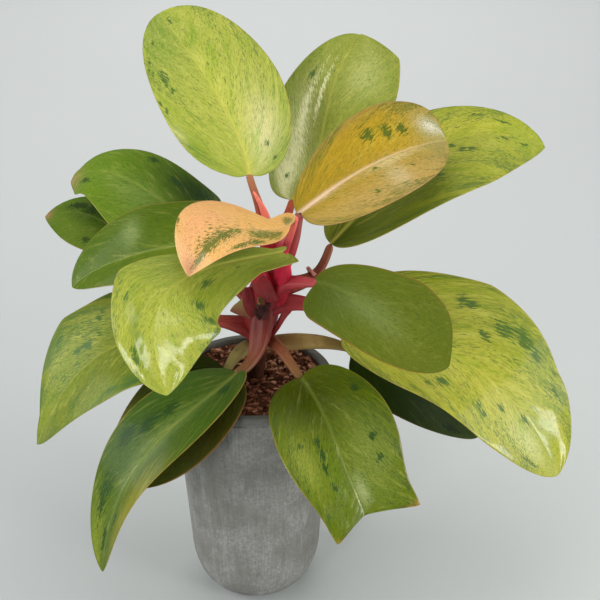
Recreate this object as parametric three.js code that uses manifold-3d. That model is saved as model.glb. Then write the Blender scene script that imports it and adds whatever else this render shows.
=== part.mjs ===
// Potted red congo philodendron: sixteen variegated leaves on crimson stalks, in a tall grey pot.
// Millimetres, +Z up. The origin is the centre of the pot's foot, and the plant is seen from -Y.
import * as THREE from 'three';
import { mergeVertices } from 'three/addons/utils/BufferGeometryUtils.js';
import Module from 'manifold-3d';

const wasm = await Module();
wasm.setup();

// Pot: a rim band over a fine groove, a gently tapered wall and a rounded bottom on a flat foot.
const POT_HEIGHT = 188;
const RIM_RADIUS = 60;
const RIM_BAND = 6;
const RIM_ROUNDING = 1.5;
const GROOVE_DEPTH = 1;
const KNEE_HEIGHT = 42;
const KNEE_RADIUS = 51.5;
const FOOT_RADIUS = 29;
const WALL = 6;
const FLOOR = 8;
const POT_SIDES = 48;

// Soil: a bumpy bed of coir and bark that ends a little below the rim.
const SOIL_TOP = 184;
const SOIL_BUMP = 1.6;
const SOIL_RINGS = 7;
const SOIL_SIDES = 24;

// Clearance between neighbouring pieces, and the thinnest that a leaf gets.
const GAP = 0.3;
const BLADE_THICKNESS = 0.8;
const RIB_HEIGHT = 1.1;

// Stem: four points on its centre line, and its radius from the root to the crown.
const STEM_ROUTE = [[1, 5, 152], [3, 3, 200], [8, 2, 242], [14, 0, 272]];
const STEM_RADII = [6.5, 6, 7.5, 12.5, 13, 9];

// Sheath: the thin salmon leaf guard that stands beside the tallest stalk.
const SHEATH_ROUTE = [[17, 3, 266], [14, 8, 300], [10, 9, 318], [3, 9, 333]];
const SHEATH_RADII = [3, 3.4, 2.6, 0.7];

// A leaf's outline is walked by an angle, from 0 at the base to 180 degrees at the tip.
const OUTLINE_STEPS = 12;
const ACROSS = [0, 0.1, 0.3, 0.55, 0.8, 1];
const STALK_STEPS = 9;
const STALK_SIDES = 8;
const STALK_FLATNESS = 0.75;
const STEM_SIDES = 12;

// Colours, picked by eye.
const COLOURS = {
  concrete: '#a3a29c',
  soil: '#7d5740',
  crimson: '#a52c42',
  redBrown: '#87443a',
  olive: '#87793f',
  salmon: '#e77f70',
  lime: '#a9b455',
  green: '#6f8f3c',
  dark: '#4d6b30',
  gold: '#b8964a',
  peach: '#dcae72',
};

// Each leaf has four points on its midrib from base to tip, and the way that its upper side faces.
// The pairs are its left and right halves, seen from above with the tip ahead: half widths, how
// steeply each half rises from the midrib and how far it bends on its way out (degrees), and egg,
// which moves the widest place towards the base. lobe and point shape the base and the tip, and
// wave is the margin's [height, waves, start]. Each ear pushes a stretch of the margin out or in:
// [left half 0 or right 1, where from base 0 to tip 1, its spread, how far forward, how far outward].
const LEAF_DEFAULTS = {
  egg: [0.1, 0.1],
  fold: [8, 8],
  curl: [-10, -10],
  lobe: 0.15,
  point: 0.08,
  wave: [0, 1, 0],
  ears: [],
};
const LEAVES = [
  {
    midrib: [[0, 20, 341], [-10, 45, 364], [-33, 78, 393], [-68, 112, 430]],
    face: [0.15, -0.62, 0.78], halves: [43, 48], egg: [-0.12, -0.33], curl: [-14, -14], lobe: 0.12, point: 0,
    wave: [1.5, 1.5, 0.2],
    stalk: [[13, 1, 262], [12, 8, 299], [5, 15, 325], [0, 20, 341]], widths: [8, 5.5, 2.8, 2.5],
    colour: 'lime', stalkColour: 'redBrown',
  },
  {
    midrib: [[30, 42, 312], [50, 74, 341], [59, 108, 369], [81, 148, 404]],
    face: [-0.2, -0.6, 0.78], halves: [41, 44], egg: [-0.05, -0.5], fold: [6, 6], lobe: 0.16, point: 0.03,
    ears: [[1, 0.82, 0.12, 0.04, 0.2]], wave: [2, 1.5, 0.4],
    stalk: [[13, 2, 262], [20, 19, 288], [26, 32, 302], [30, 42, 312]], widths: [7, 4, 2.6],
    colour: 'lime', stalkColour: 'crimson',
  },
  {
    midrib: [[36, 0, 321], [67, 18, 337], [102, 34, 350], [140, 46, 356]],
    face: [-0.1, -0.35, 0.94], halves: [37, 43], egg: [-0.55, -0.1], fold: [22, 5], curl: [0, 0], point: 0,
    ears: [[0, 0.9, 0.1, 0, 0.16], [0, 0.1, 0.1, 0, -0.12]],
    stalk: [[13, 0, 262], [25, 0, 288], [31, 1, 305], [36, 2, 320]], widths: [9, 8, 6, 3],
    colour: 'gold', stalkColour: 'crimson',
  },
  {
    midrib: [[58, 24, 285], [105, 55, 323], [157, 84, 344], [222, 94, 332]],
    face: [-0.2, -0.45, 0.88], halves: [35, 56], egg: [0, -0.25], fold: [12, 12], curl: [-6, -6],
    lobe: 0.02, point: 0.1, wave: [1.5, 1.5, 0.6],
    stalk: [[12, 2, 256], [34, 8, 261], [48, 15, 266], [58, 24, 285]], widths: [8, 6.5, 3.8, 3],
    colour: 'lime', stalkColour: 'redBrown',
  },
  {
    midrib: [[-36, 48, 291], [-70, 78, 295], [-108, 102, 307], [-146, 118, 294]],
    face: [-0.1, -0.5, 0.85], halves: [41, 36], egg: [0.3, 0.1], fold: [8, -4], curl: [-10, -15],
    ears: [[0, 0.88, 0.1, 0.02, 0.22], [1, 0.87, 0.08, 0, -0.17]], wave: [1.5, 1.5, 0.1],
    stalk: [[12, 3, 250], [1, 22, 275], [-16, 36, 287], [-36, 48, 291]], widths: [8, 4, 2.5],
    colour: 'green', stalkColour: 'redBrown',
  },
  {
    midrib: [[-89, 75, 261], [-115, 90, 270], [-141, 104, 273], [-169, 114, 265]],
    face: [-0.2, -0.5, 0.85], halves: [30, 24], egg: [0, 0.1], fold: [10, -10], point: 0.1,
    stalk: [[8, 4, 238], [-24, 34, 255], [-57, 60, 261], [-89, 75, 261]], widths: [6, 3.2, 2.3],
    colour: 'dark', stalkColour: 'redBrown',
  },
  {
    midrib: [[-15, 5, 297], [-52, 12, 289], [-95, 18, 275], [-133, 22, 250]],
    face: [-0.2, -0.5, 0.85], halves: [25, 42], egg: [0.1, 0], fold: [6, 6], curl: [-14, -14],
    wave: [2, 1.5, 0],
    stalk: [[15, -2, 246], [9, -8, 270], [-1, -5, 286], [-15, 5, 297]], widths: [8, 6.5, 2.6],
    colour: 'green', stalkColour: 'redBrown',
  },
  {
    midrib: [[33, -12, 323], [11, -30, 322], [-13, -54, 332], [-36, -76, 310]],
    face: [-0.3, -0.5, 0.8], halves: [20, 36], egg: [-0.6, -0.4], fold: [10, 10], curl: [-20, -20],
    lobe: 0.06, point: 0.14, ears: [[0, 0.16, 0.12, 0, -0.4], [1, 0.33, 0.13, 0, -0.4]],
    stalk: [[13, 0, 260], [23, -5, 291], [29, -9, 309], [33, -12, 323]], widths: [6, 4, 2.3],
    colour: 'peach', stalkColour: 'crimson',
  },
  {
    midrib: [[24, -22, 301], [-27, -52, 303], [-56, -80, 289], [-51, -105, 238]],
    face: [-0.2, -0.6, 0.7], halves: [34, 30], egg: [-0.55, -0.35], fold: [6, 6], lobe: 0.16,
    ears: [[0, 0.13, 0.07, -0.03, 0.14], [0, 0.3, 0.08, 0, -0.16], [0, 0.72, 0.16, 0, 0.3],
      [1, 0.22, 0.12, 0, -0.28], [1, 0.42, 0.14, 0, -0.5], [1, 0.59, 0.07, 0, 0.36]],
    wave: [1.5, 1, 0.3],
    stalk: [[16, 0, 250], [23, -8, 272], [25, -17, 290], [24, -22, 301]], widths: [9, 8, 4.5, 3],
    colour: 'lime', stalkColour: 'crimson',
  },
  {
    midrib: [[-37, 0, 236], [-80, -12, 228], [-120, -24, 209], [-159, -34, 148]],
    face: [-0.5, -0.5, 0.75], halves: [44, 45], egg: [0.1, -0.05],
    ears: [[1, 0.63, 0.08, 0, 0.24], [1, 0.87, 0.12, 0, -0.26]], wave: [2, 2, 0.3],
    stalk: [[6, 3, 222], [-6, 0, 230], [-20, -1, 234], [-37, 0, 236]], widths: [9, 7.5, 5, 3.2],
    colour: 'lime', stalkColour: 'redBrown',
  },
  {
    midrib: [[-10, -42, 215], [-43, -80, 205], [-80, -104, 171], [-102, -118, 100]],
    face: [-0.4, -0.7, 0.5], halves: [21, 31], fold: [20, 4], lobe: 0.12, wave: [2.5, 1.5, 0.1],
    stalk: [[9, -3, 248], [7, -15, 232], [2, -27, 219], [-10, -42, 215]], widths: [9, 8.5, 5, 3.2],
    colour: 'green', stalkColour: 'redBrown',
  },
  {
    midrib: [[-18, -27, 207], [-44, -52, 194], [-73, -66, 170], [-106, -70, 155]],
    face: [-0.2, -0.6, 0.7], halves: [38, 36], lobe: 0.12, egg: [0.1, 0.1],
    stalk: [[4, 4, 210], [-3, -6, 215], [-10, -16, 215], [-18, -27, 207]], widths: [6, 6, 5, 2.8],
    colour: 'dark', stalkColour: 'olive',
  },
  {
    midrib: [[36, -37, 208], [51, -65, 198], [65, -88, 174], [80, -105, 142]],
    face: [0.1, -0.6, 0.6], halves: [44, 40], egg: [-0.15, 0], lobe: 0.12, point: 0,
    ears: [[0, 0.86, 0.08, 0.17, 0.46], [1, 0.86, 0.08, 0.15, 0.3]], wave: [1.5, 1.5, 0.6],
    stalk: [[6, 4, 214], [16, -11, 222], [26, -24, 217], [36, -37, 208]], widths: [6, 4.5, 3.8, 3],
    colour: 'green', stalkColour: 'olive',
  },
  {
    midrib: [[47, -30, 281], [77, -48, 276], [107, -64, 257], [136, -75, 242]],
    face: [0.1, -0.65, 0.75], halves: [31, 30], egg: [-0.55, 0.3], lobe: 0.22, point: 0.06,
    ears: [[0, 0.14, 0.12, 0.02, -0.2], [0, 0.56, 0.14, 0, 0.18], [1, 0.12, 0.12, 0, 0.1]],
    stalk: [[14, 0, 250], [23, -9, 268], [35, -19, 276], [47, -30, 281]], widths: [9, 6.5, 4.6, 3],
    colour: 'dark', stalkColour: 'crimson',
  },
  {
    midrib: [[72, 2, 226], [128, -16, 223], [181, -38, 198], [223, -56, 136]],
    face: [0.3, -0.6, 0.75], halves: [60, 44], egg: [0, -0.2], lobe: 0.16, point: 0.06,
    ears: [[0, 0.5, 0.1, 0, 0.16], [0, 0.7, 0.08, 0, -0.1]], wave: [3, 1.5, 0.2],
    stalk: [[11, -2, 246], [29, -3, 251], [50, -1, 245], [72, 2, 226]], widths: [9, 6.5, 4.5, 3.4],
    colour: 'lime', stalkColour: 'crimson',
  },
  {
    midrib: [[75, 5, 206], [111, 2, 186], [142, 0, 160], [173, -2, 132]],
    face: [0.4, -0.5, 0.75], halves: [34, 33], lobe: 0.16, egg: [0.1, 0.35],
    ears: [[1, 0.1, 0.1, 0.02, -0.2]],
    stalk: [[7, 4, 212], [29, 2, 215], [52, 3, 214], [75, 5, 206]], widths: [6, 6.8, 5.5, 2.8],
    colour: 'dark', stalkColour: 'olive',
  },
];

const radians = THREE.MathUtils.degToRad;
const vector = (values) => new THREE.Vector3(...values);

/** The value at place 0..1 of a list of evenly spaced values. */
function along(values, place) {
  const at = Math.min(Math.max(place, 0), 1) * (values.length - 1);
  const low = Math.min(Math.floor(at), values.length - 2);
  return THREE.MathUtils.lerp(values[low], values[low + 1], at - low);
}

/** The cubic curve that passes through four points at 0, 1/3, 2/3 and 1. */
function curveThrough(points) {
  const [a, b, c, d] = points.map(vector);
  const mix = (wa, wb, wc, wd) => new THREE.Vector3()
    .addScaledVector(a, wa / 6)
    .addScaledVector(b, wb / 6)
    .addScaledVector(c, wc / 6)
    .addScaledVector(d, wd / 6);
  return new THREE.CubicBezierCurve3(a, mix(-5, 18, -9, 2), mix(2, -9, 18, -5), d);
}

/** A geometry from a list of points and a list of triangles that share them. */
function geometryFrom(points, triangles) {
  const geometry = new THREE.BufferGeometry().setFromPoints(points);
  geometry.setIndex(triangles.flat());
  return geometry;
}

/** Closes stacked rings of points with a fan at each end; the rings turn anticlockwise going up. */
function skin(rings, startPoint, endPoint) {
  const sides = rings[0].length;
  const points = [...rings.flat(), startPoint, endPoint];
  const start = rings.length * sides;
  const last = start - sides;
  const triangles = [];
  for (let side = 0; side < sides; side += 1) {
    const next = (side + 1) % sides;
    triangles.push([start, next, side], [start + 1, last + side, last + next]);
    for (let low = 0; low < last; low += sides) {
      const high = low + sides;
      triangles.push([low + side, low + next, high + next], [low + side, high + next, high + side]);
    }
  }
  return geometryFrom(points, triangles);
}

/** A geometry's closed surface as a solid that can be cut. */
function solidOf(geometry) {
  const bare = geometry.clone();
  bare.deleteAttribute('normal');
  bare.deleteAttribute('uv');
  const merged = mergeVertices(bare, 1e-4);
  const corners = [];
  for (let at = 0; at < merged.index.count; at += 3) {
    const [a, b, c] = merged.index.array.subarray(at, at + 3);
    if (a !== b && b !== c && c !== a) corners.push(a, b, c);
  }
  const vertProperties = new Float32Array(merged.attributes.position.array);
  return new wasm.Manifold(new wasm.Mesh({ numProp: 3, vertProperties, triVerts: new Uint32Array(corners) }));
}

/** A solid's surface as a geometry. */
function geometryOf(solid) {
  const { vertProperties, triVerts } = solid.getMesh();
  const geometry = new THREE.BufferGeometry();
  geometry.setAttribute('position', new THREE.BufferAttribute(vertProperties.slice(), 3));
  geometry.setIndex(new THREE.BufferAttribute(triVerts.slice(), 1));
  return geometry;
}

/** The pot's outer radius at a height. */
function potRadius(height) {
  if (height < KNEE_HEIGHT) {
    const drop = 1 - height / KNEE_HEIGHT;
    return FOOT_RADIUS + (KNEE_RADIUS - FOOT_RADIUS) * Math.sqrt(1 - drop * drop);
  }
  const rise = (height - KNEE_HEIGHT) / (POT_HEIGHT - KNEE_HEIGHT);
  return THREE.MathUtils.lerp(KNEE_RADIUS, RIM_RADIUS, rise);
}

function pot() {
  const knee = [0, 0.02, 0.08, 0.18, 0.32, 0.5, 0.72].map((part) => part * KNEE_HEIGHT);
  const band = POT_HEIGHT - RIM_BAND;
  const wall = [KNEE_HEIGHT, 90, 135, band - 2];
  const outside = [...knee, ...wall].map((height) => [potRadius(height), height]);
  const rim = [
    [potRadius(band) - GROOVE_DEPTH, band - 1],
    [RIM_RADIUS, band],
    [RIM_RADIUS, POT_HEIGHT - RIM_ROUNDING],
    [RIM_RADIUS - 0.4 * RIM_ROUNDING, POT_HEIGHT - 0.3 * RIM_ROUNDING],
    [RIM_RADIUS - RIM_ROUNDING, POT_HEIGHT],
    [RIM_RADIUS - WALL + RIM_ROUNDING, POT_HEIGHT],
    [RIM_RADIUS - WALL + 0.4 * RIM_ROUNDING, POT_HEIGHT - 0.3 * RIM_ROUNDING],
    [RIM_RADIUS - WALL, POT_HEIGHT - RIM_ROUNDING],
  ];
  const inside = [150, 90, KNEE_HEIGHT, 22, FLOOR].map((height) => [potRadius(height) - WALL, height]);
  const profile = [[0, 0], ...outside, ...rim, ...inside, [0, FLOOR]];
  const turned = new THREE.LatheGeometry(profile.map((pair) => new THREE.Vector2(...pair)), POT_SIDES);
  return geometryOf(solidOf(turned.rotateX(Math.PI / 2)));
}

/** Height of the soil's surface: rounded lumps that fade out at the pot's wall. */
function soilHeight(x, y) {
  const lumps = Math.sin(x * 0.31 + 1.1) * Math.cos(y * 0.27 - 0.4) + 0.5 * Math.sin(x * 0.13 - y * 0.57);
  const edge = Math.min(1, (RIM_RADIUS - WALL - Math.hypot(x, y)) / 8);
  return SOIL_TOP + SOIL_BUMP * lumps * Math.max(edge, 0);
}

function soil() {
  const rings = [22, KNEE_HEIGHT, 90, 150].map((height) => [potRadius(height) - WALL - GAP, height]);
  const floor = [potRadius(FLOOR) - WALL - GAP - 1, FLOOR + GAP];
  const ring = ([radius, height], bumpy) => Array.from({ length: SOIL_SIDES }, (_, side) => {
    const angle = (side / SOIL_SIDES) * Math.PI * 2;
    const [x, y] = [radius * Math.cos(angle), radius * Math.sin(angle)];
    return new THREE.Vector3(x, y, bumpy ? soilHeight(x, y) : height);
  });
  const top = Array.from({ length: SOIL_RINGS }, (_, step) => {
    const radius = (RIM_RADIUS - WALL - GAP - 0.6) * (1 - step / SOIL_RINGS);
    return ring([radius, 0], true);
  });
  const walls = [floor, ...rings].map((pair) => ring(pair, false));
  const centre = new THREE.Vector3(0, 0, soilHeight(0, 0));
  return skin([...walls, ...top], new THREE.Vector3(0, 0, FLOOR + GAP), centre);
}

/** A tapering stalk with an oval section whose flat side faces the way given. */
function tube(route, widths, { facing = [0, -1, 0.2], flatness = 1, extra = 0, sides = STALK_SIDES } = {}) {
  const curve = curveThrough(route);
  const rings = [];
  for (let step = 0; step <= STALK_STEPS; step += 1) {
    const place = step / STALK_STEPS;
    const centre = curve.getPoint(place);
    const ahead = curve.getTangent(place);
    const aside = new THREE.Vector3().crossVectors(ahead, vector(facing)).normalize();
    const up = new THREE.Vector3().crossVectors(aside, ahead);
    const width = along(widths, place) + extra;
    const depth = along(widths, place) * flatness + extra;
    rings.push(Array.from({ length: sides }, (_, side) => {
      const angle = (side / sides) * Math.PI * 2;
      return centre.clone()
        .addScaledVector(aside, width * Math.cos(angle))
        .addScaledVector(up, -depth * Math.sin(angle));
    }));
  }
  return skin(rings, curve.getPoint(0), curve.getPoint(1));
}

/** Where a leaf's outline lies at an angle: [along the midrib 0..1, across in half widths]. */
function outline(leaf, side, angle) {
  const run = (1 - Math.cos(angle)) / 2;
  const sine = Math.sin(angle);
  let length = run - leaf.lobe * sine * (1 - run) ** 2 - leaf.point * sine * run ** 2;
  let across = sine * (1 + leaf.egg[side] * Math.cos(angle));
  for (const [half, at, spread, forward, outward] of leaf.ears) {
    const bump = half === side ? Math.exp(-(Math.abs((angle / Math.PI - at) / spread) ** 1.3)) : 0;
    length += forward * bump;
    across += outward * bump * sine ** 0.25;
  }
  return [length, Math.max(across, 0.08 * sine)];
}

/** The blade's middle surface at an outline angle and a share of the way from midrib to margin. */
function bladePoint(leaf, curve, side, angle, share) {
  const run = (1 - Math.cos(angle)) / 2;
  const root = 0.97 * run ** 1.15 + 0.03 * run;
  const [length, reach] = outline(leaf, side, angle);
  const x = root + (length - root) * share ** 1.5;
  const y = reach * share;
  const place = Math.min(Math.max(x, 0), 1);
  const ahead = curve.getTangent(place);
  const point = curve.getPoint(place).addScaledVector(ahead, (x - place) * curve.getLength());
  const up = vector(leaf.face).projectOnPlane(ahead).normalize();
  const aside = new THREE.Vector3().crossVectors(ahead, up);
  const fold = radians(leaf.fold[side]);
  const curl = radians(leaf.curl[side]) || 1e-6;
  const width = leaf.halves[side];
  const across = (width * (Math.sin(fold + curl * y) - Math.sin(fold))) / curl;
  const [height, waves, start] = leaf.wave;
  const wave = height * y * y * Math.sin(2 * Math.PI * (waves * x + start + 0.3 * side));
  const rise = (width * (Math.cos(fold) - Math.cos(fold + curl * y))) / curl + wave;
  return point.addScaledVector(aside, side ? across : -across).addScaledVector(up, rise);
}

/** A blade of even thickness with a rib under its midrib; extra grows it all round. */
function blade(leaf, extra = 0) {
  const curve = curveThrough(leaf.midrib);
  const columns = 2 * (ACROSS.length - 1) + 1;
  const middle = ACROSS.length - 1;
  const sheet = [bladePoint(leaf, curve, 0, 0, 0)];
  for (let row = 1; row < OUTLINE_STEPS; row += 1) {
    const angle = (row / OUTLINE_STEPS) * Math.PI;
    for (let column = 0; column < columns; column += 1) {
      const side = column < middle ? 0 : 1;
      sheet.push(bladePoint(leaf, curve, side, angle, ACROSS[Math.abs(column - middle)]));
    }
  }
  sheet.push(bladePoint(leaf, curve, 0, Math.PI, 0));
  const tip = sheet.length - 1;
  const cell = (row, column) => 1 + (row - 1) * columns + column;

  const rim = [[0, cell(1, middle)]];
  for (let row = 1; row < OUTLINE_STEPS; row += 1) rim.push([cell(row, columns - 1), cell(row, columns - 2)]);
  rim.push([tip, cell(OUTLINE_STEPS - 1, middle)]);
  for (let row = OUTLINE_STEPS - 1; row > 0; row -= 1) rim.push([cell(row, 0), cell(row, 1)]);
  for (const [outer, inner] of rim) {
    const outward = sheet[outer].clone().sub(sheet[inner]).setLength(extra);
    sheet[outer].add(outward);
  }

  const faces = [];
  for (let column = 0; column < columns - 1; column += 1) {
    faces.push([0, cell(1, column + 1), cell(1, column)]);
    faces.push([tip, cell(OUTLINE_STEPS - 1, column), cell(OUTLINE_STEPS - 1, column + 1)]);
    for (let row = 1; row < OUTLINE_STEPS - 1; row += 1) {
      const [a, b] = [cell(row, column), cell(row, column + 1)];
      const [c, d] = [cell(row + 1, column), cell(row + 1, column + 1)];
      faces.push(...(column < middle ? [[a, b, c], [b, d, c]] : [[a, b, d], [a, d, c]]));
    }
  }

  const normals = sheet.map(() => new THREE.Vector3());
  for (const [a, b, c] of faces) {
    const first = sheet[b].clone().sub(sheet[a]);
    const normal = first.cross(sheet[c].clone().sub(sheet[a]));
    for (const corner of [a, b, c]) normals[corner].add(normal);
  }
  normals.forEach((normal) => normal.normalize());

  const half = BLADE_THICKNESS / 2 + extra;
  const upper = sheet.map((point, index) => point.clone().addScaledVector(normals[index], half));
  const lower = sheet.map((point, index) => {
    const row = Math.floor((index - 1) / columns) + 1;
    const onRib = index === 0 || (index !== tip && (index - 1) % columns === middle);
    const rib = onRib ? RIB_HEIGHT * (1 - row / OUTLINE_STEPS) : 0;
    return point.clone().addScaledVector(normals[index], -half - rib);
  });

  const count = sheet.length;
  const under = faces.map(([a, b, c]) => [a + count, c + count, b + count]);
  const edge = rim.flatMap(([from], index) => {
    const [to] = rim[(index + 1) % rim.length];
    return [[from, from + count, to + count], [from, to + count, to]];
  });
  return geometryFrom([...upper, ...lower], [...faces, ...under, ...edge]);
}

/** Whether two solids' boxes meet. */
function near(first, second) {
  const [a, b] = [first.boundingBox(), second.boundingBox()];
  return [0, 1, 2].every((axis) => a.min[axis] < b.max[axis] && b.min[axis] < a.max[axis]);
}

/** A geometry cut clear of other solids: the largest body that is left. */
function clearOf(geometry, others) {
  let solid = solidOf(geometry);
  for (const other of others) {
    if (near(solid, other)) solid = solid.subtract(other);
  }
  const bodies = solid.decompose();
  return geometryOf(bodies.reduce((best, body) => (body.volume() > best.volume() ? body : best)));
}

/** A named mesh whose own origin lies at a point of the plant's frame. */
function piece(name, geometry, colour, roughness, origin = [0, 0, 0]) {
  const own = geometry.translate(...origin.map((value) => -value));
  own.computeVertexNormals();
  const material = new THREE.MeshStandardMaterial({ color: COLOURS[colour], roughness, metalness: 0 });
  const mesh = new THREE.Mesh(own, material);
  mesh.name = name;
  mesh.position.set(...origin);
  return mesh;
}

const plant = new THREE.Group();
plant.name = 'red_congo_philodendron';

const stemHole = solidOf(tube(STEM_ROUTE, STEM_RADII, { sides: STEM_SIDES, extra: GAP }));
plant.add(piece('pot', pot(), 'concrete', 0.85));
plant.add(piece('soil', clearOf(soil(), [stemHole]), 'soil', 0.95, [0, 0, SOIL_TOP]));
plant.add(piece('stem', tube(STEM_ROUTE, STEM_RADII, { sides: STEM_SIDES }), 'crimson', 0.5, STEM_ROUTE[0]));

// Each stalk starts inside the stem. It is cut clear of the stem, of its blade and of the stalks that
// stand nearer to the viewer, which keep their whole shape.
const taken = [stemHole];
const nearestFirst = LEAVES.map((_, index) => index).sort((a, b) => LEAVES[a].stalk[1][1] - LEAVES[b].stalk[1][1]);
for (const index of nearestFirst) {
  const leaf = { ...LEAF_DEFAULTS, ...LEAVES[index] };
  const name = `leaf_${String(index + 1).padStart(2, '0')}`;
  const shape = { facing: leaf.face, flatness: STALK_FLATNESS };
  const stalk = clearOf(tube(leaf.stalk, leaf.widths, shape), [...taken, solidOf(blade(leaf, GAP))]);
  taken.push(solidOf(tube(leaf.stalk, leaf.widths, { ...shape, extra: GAP })));
  const group = new THREE.Group();
  group.name = name;
  group.add(piece(`${name}_blade`, blade(leaf), leaf.colour, 0.4, leaf.midrib[0]));
  group.add(piece(`${name}_stalk`, stalk, leaf.stalkColour, 0.45, leaf.stalk[0]));
  plant.add(group);
}

const sheath = clearOf(tube(SHEATH_ROUTE, SHEATH_RADII, { flatness: 0.5 }), taken);
plant.add(piece('sheath', sheath, 'salmon', 0.45, SHEATH_ROUTE[0]));

export default plant;
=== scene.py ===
# %% [markdown]
# # Potted red congo philodendron
# Sixteen glossy, variegated leaves stand on crimson stalks in a tall grey pot of bark soil.
# The CAD frame gives every piece its place and size. This lesson dresses each of its nodes with
# a finer surface and a material, and looks at it with the photograph's camera. Shapes are worked
# out in millimetres, as a plant and a pot are measured, and turned into metres when a mesh is
# made. Lights, the camera and the scale of a pattern are in metres, as Blender has them.

# %% Load the frame
import math

import bpy
import numpy as np
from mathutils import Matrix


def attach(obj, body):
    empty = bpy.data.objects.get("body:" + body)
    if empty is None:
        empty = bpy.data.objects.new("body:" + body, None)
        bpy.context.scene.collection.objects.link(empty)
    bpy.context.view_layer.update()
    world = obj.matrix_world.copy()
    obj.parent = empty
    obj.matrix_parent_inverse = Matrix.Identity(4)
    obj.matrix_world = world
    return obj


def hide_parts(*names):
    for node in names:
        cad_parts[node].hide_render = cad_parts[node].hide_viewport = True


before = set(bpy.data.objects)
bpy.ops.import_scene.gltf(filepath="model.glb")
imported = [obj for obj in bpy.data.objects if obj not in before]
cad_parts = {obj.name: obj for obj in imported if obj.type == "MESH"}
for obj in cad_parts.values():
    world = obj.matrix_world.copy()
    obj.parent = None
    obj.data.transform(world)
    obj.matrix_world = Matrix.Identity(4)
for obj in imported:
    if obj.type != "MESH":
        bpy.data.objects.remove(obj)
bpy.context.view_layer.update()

MM = 0.001

# %% [markdown]
# Blender stores colours as linear light, while a colour picked from a screen is encoded.
# One could convert each colour by hand, but then nobody could read it again. A small function
# lets every colour below be written the way it is seen, from 0 to 255.

# %% Colours as they are seen
def seen(*rgb):
    """Linear light from 0..255 screen values: the encoded share to the power 2.4, with its toe."""
    share = np.asarray(rgb, float) / 255
    return np.where(share <= 0.04045, share / 12.92, ((share + 0.055) / 1.055) ** 2.4)


def rgba(*rgb):
    """The same colour with full opacity, as a node's colour socket takes it."""
    return (*seen(*rgb), 1.0)


print("mid lime in linear light:", seen(169, 180, 85).round(3))

# %% [markdown]
# The camera repeats the photograph's viewpoint: a 70 mm lens, 29 degrees above level, less than
# a metre from the pot's rim. The standard view transform keeps lime and crimson as saturated as
# they are in the photograph.

# %% Camera
def add_camera(place, tilt, lens):
    """A camera that looks along +Y and down; tilt is its turn about X from straight down."""
    camera = bpy.data.objects.new("photo_camera", bpy.data.cameras.new("photo_camera"))
    camera.data.lens = lens
    camera.data.sensor_width = 36
    camera.location = place
    camera.rotation_euler = (math.radians(tilt), 0, 0)
    bpy.context.scene.collection.objects.link(camera)
    return camera


bpy.context.scene.camera = add_camera(place=(0.0356, -0.743, 0.6581), tilt=61.3, lens=70.2)
bpy.context.scene.view_settings.view_transform = "Standard"
print("camera at", tuple(round(value, 3) for value in bpy.context.scene.camera.location))

# %% [markdown]
# The photograph has soft light from both sides, stronger from the left. An area light is a studio
# softbox: its size sets how soft the shadow is and how wide the glint on a leaf. Two broad panels
# light the sides, and two small windows low in front draw the narrow glints. A panel overhead and
# one behind fill the shadows and light the floor, and they stay out of reflections, because a
# glossy leaf would show them as a grey haze.

# %% Softboxes
PLANT_MIDDLE = (0.03, -0.02, 0.26)


def add_softbox(name, place, size, watts, aim=PLANT_MIDDLE, glints=True):
    """A rectangular area light, width by height, that faces its aim point."""
    light = bpy.data.lights.new(name, "AREA")
    light.shape = "RECTANGLE"
    light.size, light.size_y = size
    light.energy = watts
    box = bpy.data.objects.new(name, light)
    box.location = place
    toward = np.subtract(aim, place)
    turn_z = math.atan2(toward[0], -toward[1])
    turn_x = math.atan2(math.hypot(toward[0], toward[1]), -toward[2])
    box.rotation_euler = (turn_x, 0, turn_z + math.pi)
    box.visible_glossy = glints
    bpy.context.scene.collection.objects.link(box)


add_softbox("left_panel", (-1.1, -0.35, 0.82), (1.2, 0.95), 12.5)
add_softbox("left_window", (-0.66, -1.1, 0.42), (0.3, 0.5), 7)
add_softbox("right_panel", (1.2, -0.3, 0.7), (1.2, 0.9), 7)
add_softbox("right_window", (1.1, -0.72, 0.36), (0.3, 0.5), 7)
add_softbox("ceiling_panel", (0.15, 0.1, 1.75), (1.4, 1.4), 12, glints=False)
add_softbox("rear_panel", (0.0, 2.0, 1.6), (2.4, 1.4), 32, aim=(0.0, 2.0, 0.0), glints=False)

# %% [markdown]
# A real room also lights the plant a little from everywhere. A photographed surrounding would need
# an image file, while an even pale room, a little brighter overhead, takes only a few nodes. It
# keeps the undersides of the leaves from going black.

# %% Pale surroundings
def pale_room(level_colour, overhead_colour, strength):
    """World light that passes from one colour at the horizon to another straight up."""
    world = bpy.data.worlds.new("pale_room")
    world.use_nodes = True
    tree = world.node_tree
    tree.nodes.clear()
    place = tree.nodes.new("ShaderNodeTexCoord")
    split = tree.nodes.new("ShaderNodeSeparateXYZ")
    rise = tree.nodes.new("ShaderNodeMapRange")
    blend = tree.nodes.new("ShaderNodeMix")
    glow = tree.nodes.new("ShaderNodeBackground")
    output = tree.nodes.new("ShaderNodeOutputWorld")
    blend.data_type = "RGBA"
    blend.inputs[6].default_value = level_colour
    blend.inputs[7].default_value = overhead_colour
    glow.inputs["Strength"].default_value = strength
    tree.links.new(place.outputs["Generated"], split.inputs[0])
    tree.links.new(split.outputs["Z"], rise.inputs["Value"])
    tree.links.new(rise.outputs["Result"], blend.inputs["Factor"])
    tree.links.new(blend.outputs[2], glow.inputs["Color"])
    tree.links.new(glow.outputs[0], output.inputs["Surface"])
    bpy.context.scene.world = world


pale_room(level_colour=(0.8, 0.83, 0.83, 1), overhead_colour=(1.0, 1.0, 1.0, 1), strength=0.24)
print("world:", bpy.context.scene.world.name)

# %% [markdown]
# Materials are small networks of nodes. These helpers add one node each and return its output,
# so that a material reads like a sum: noise goes into a range, a range into a mix.

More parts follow.
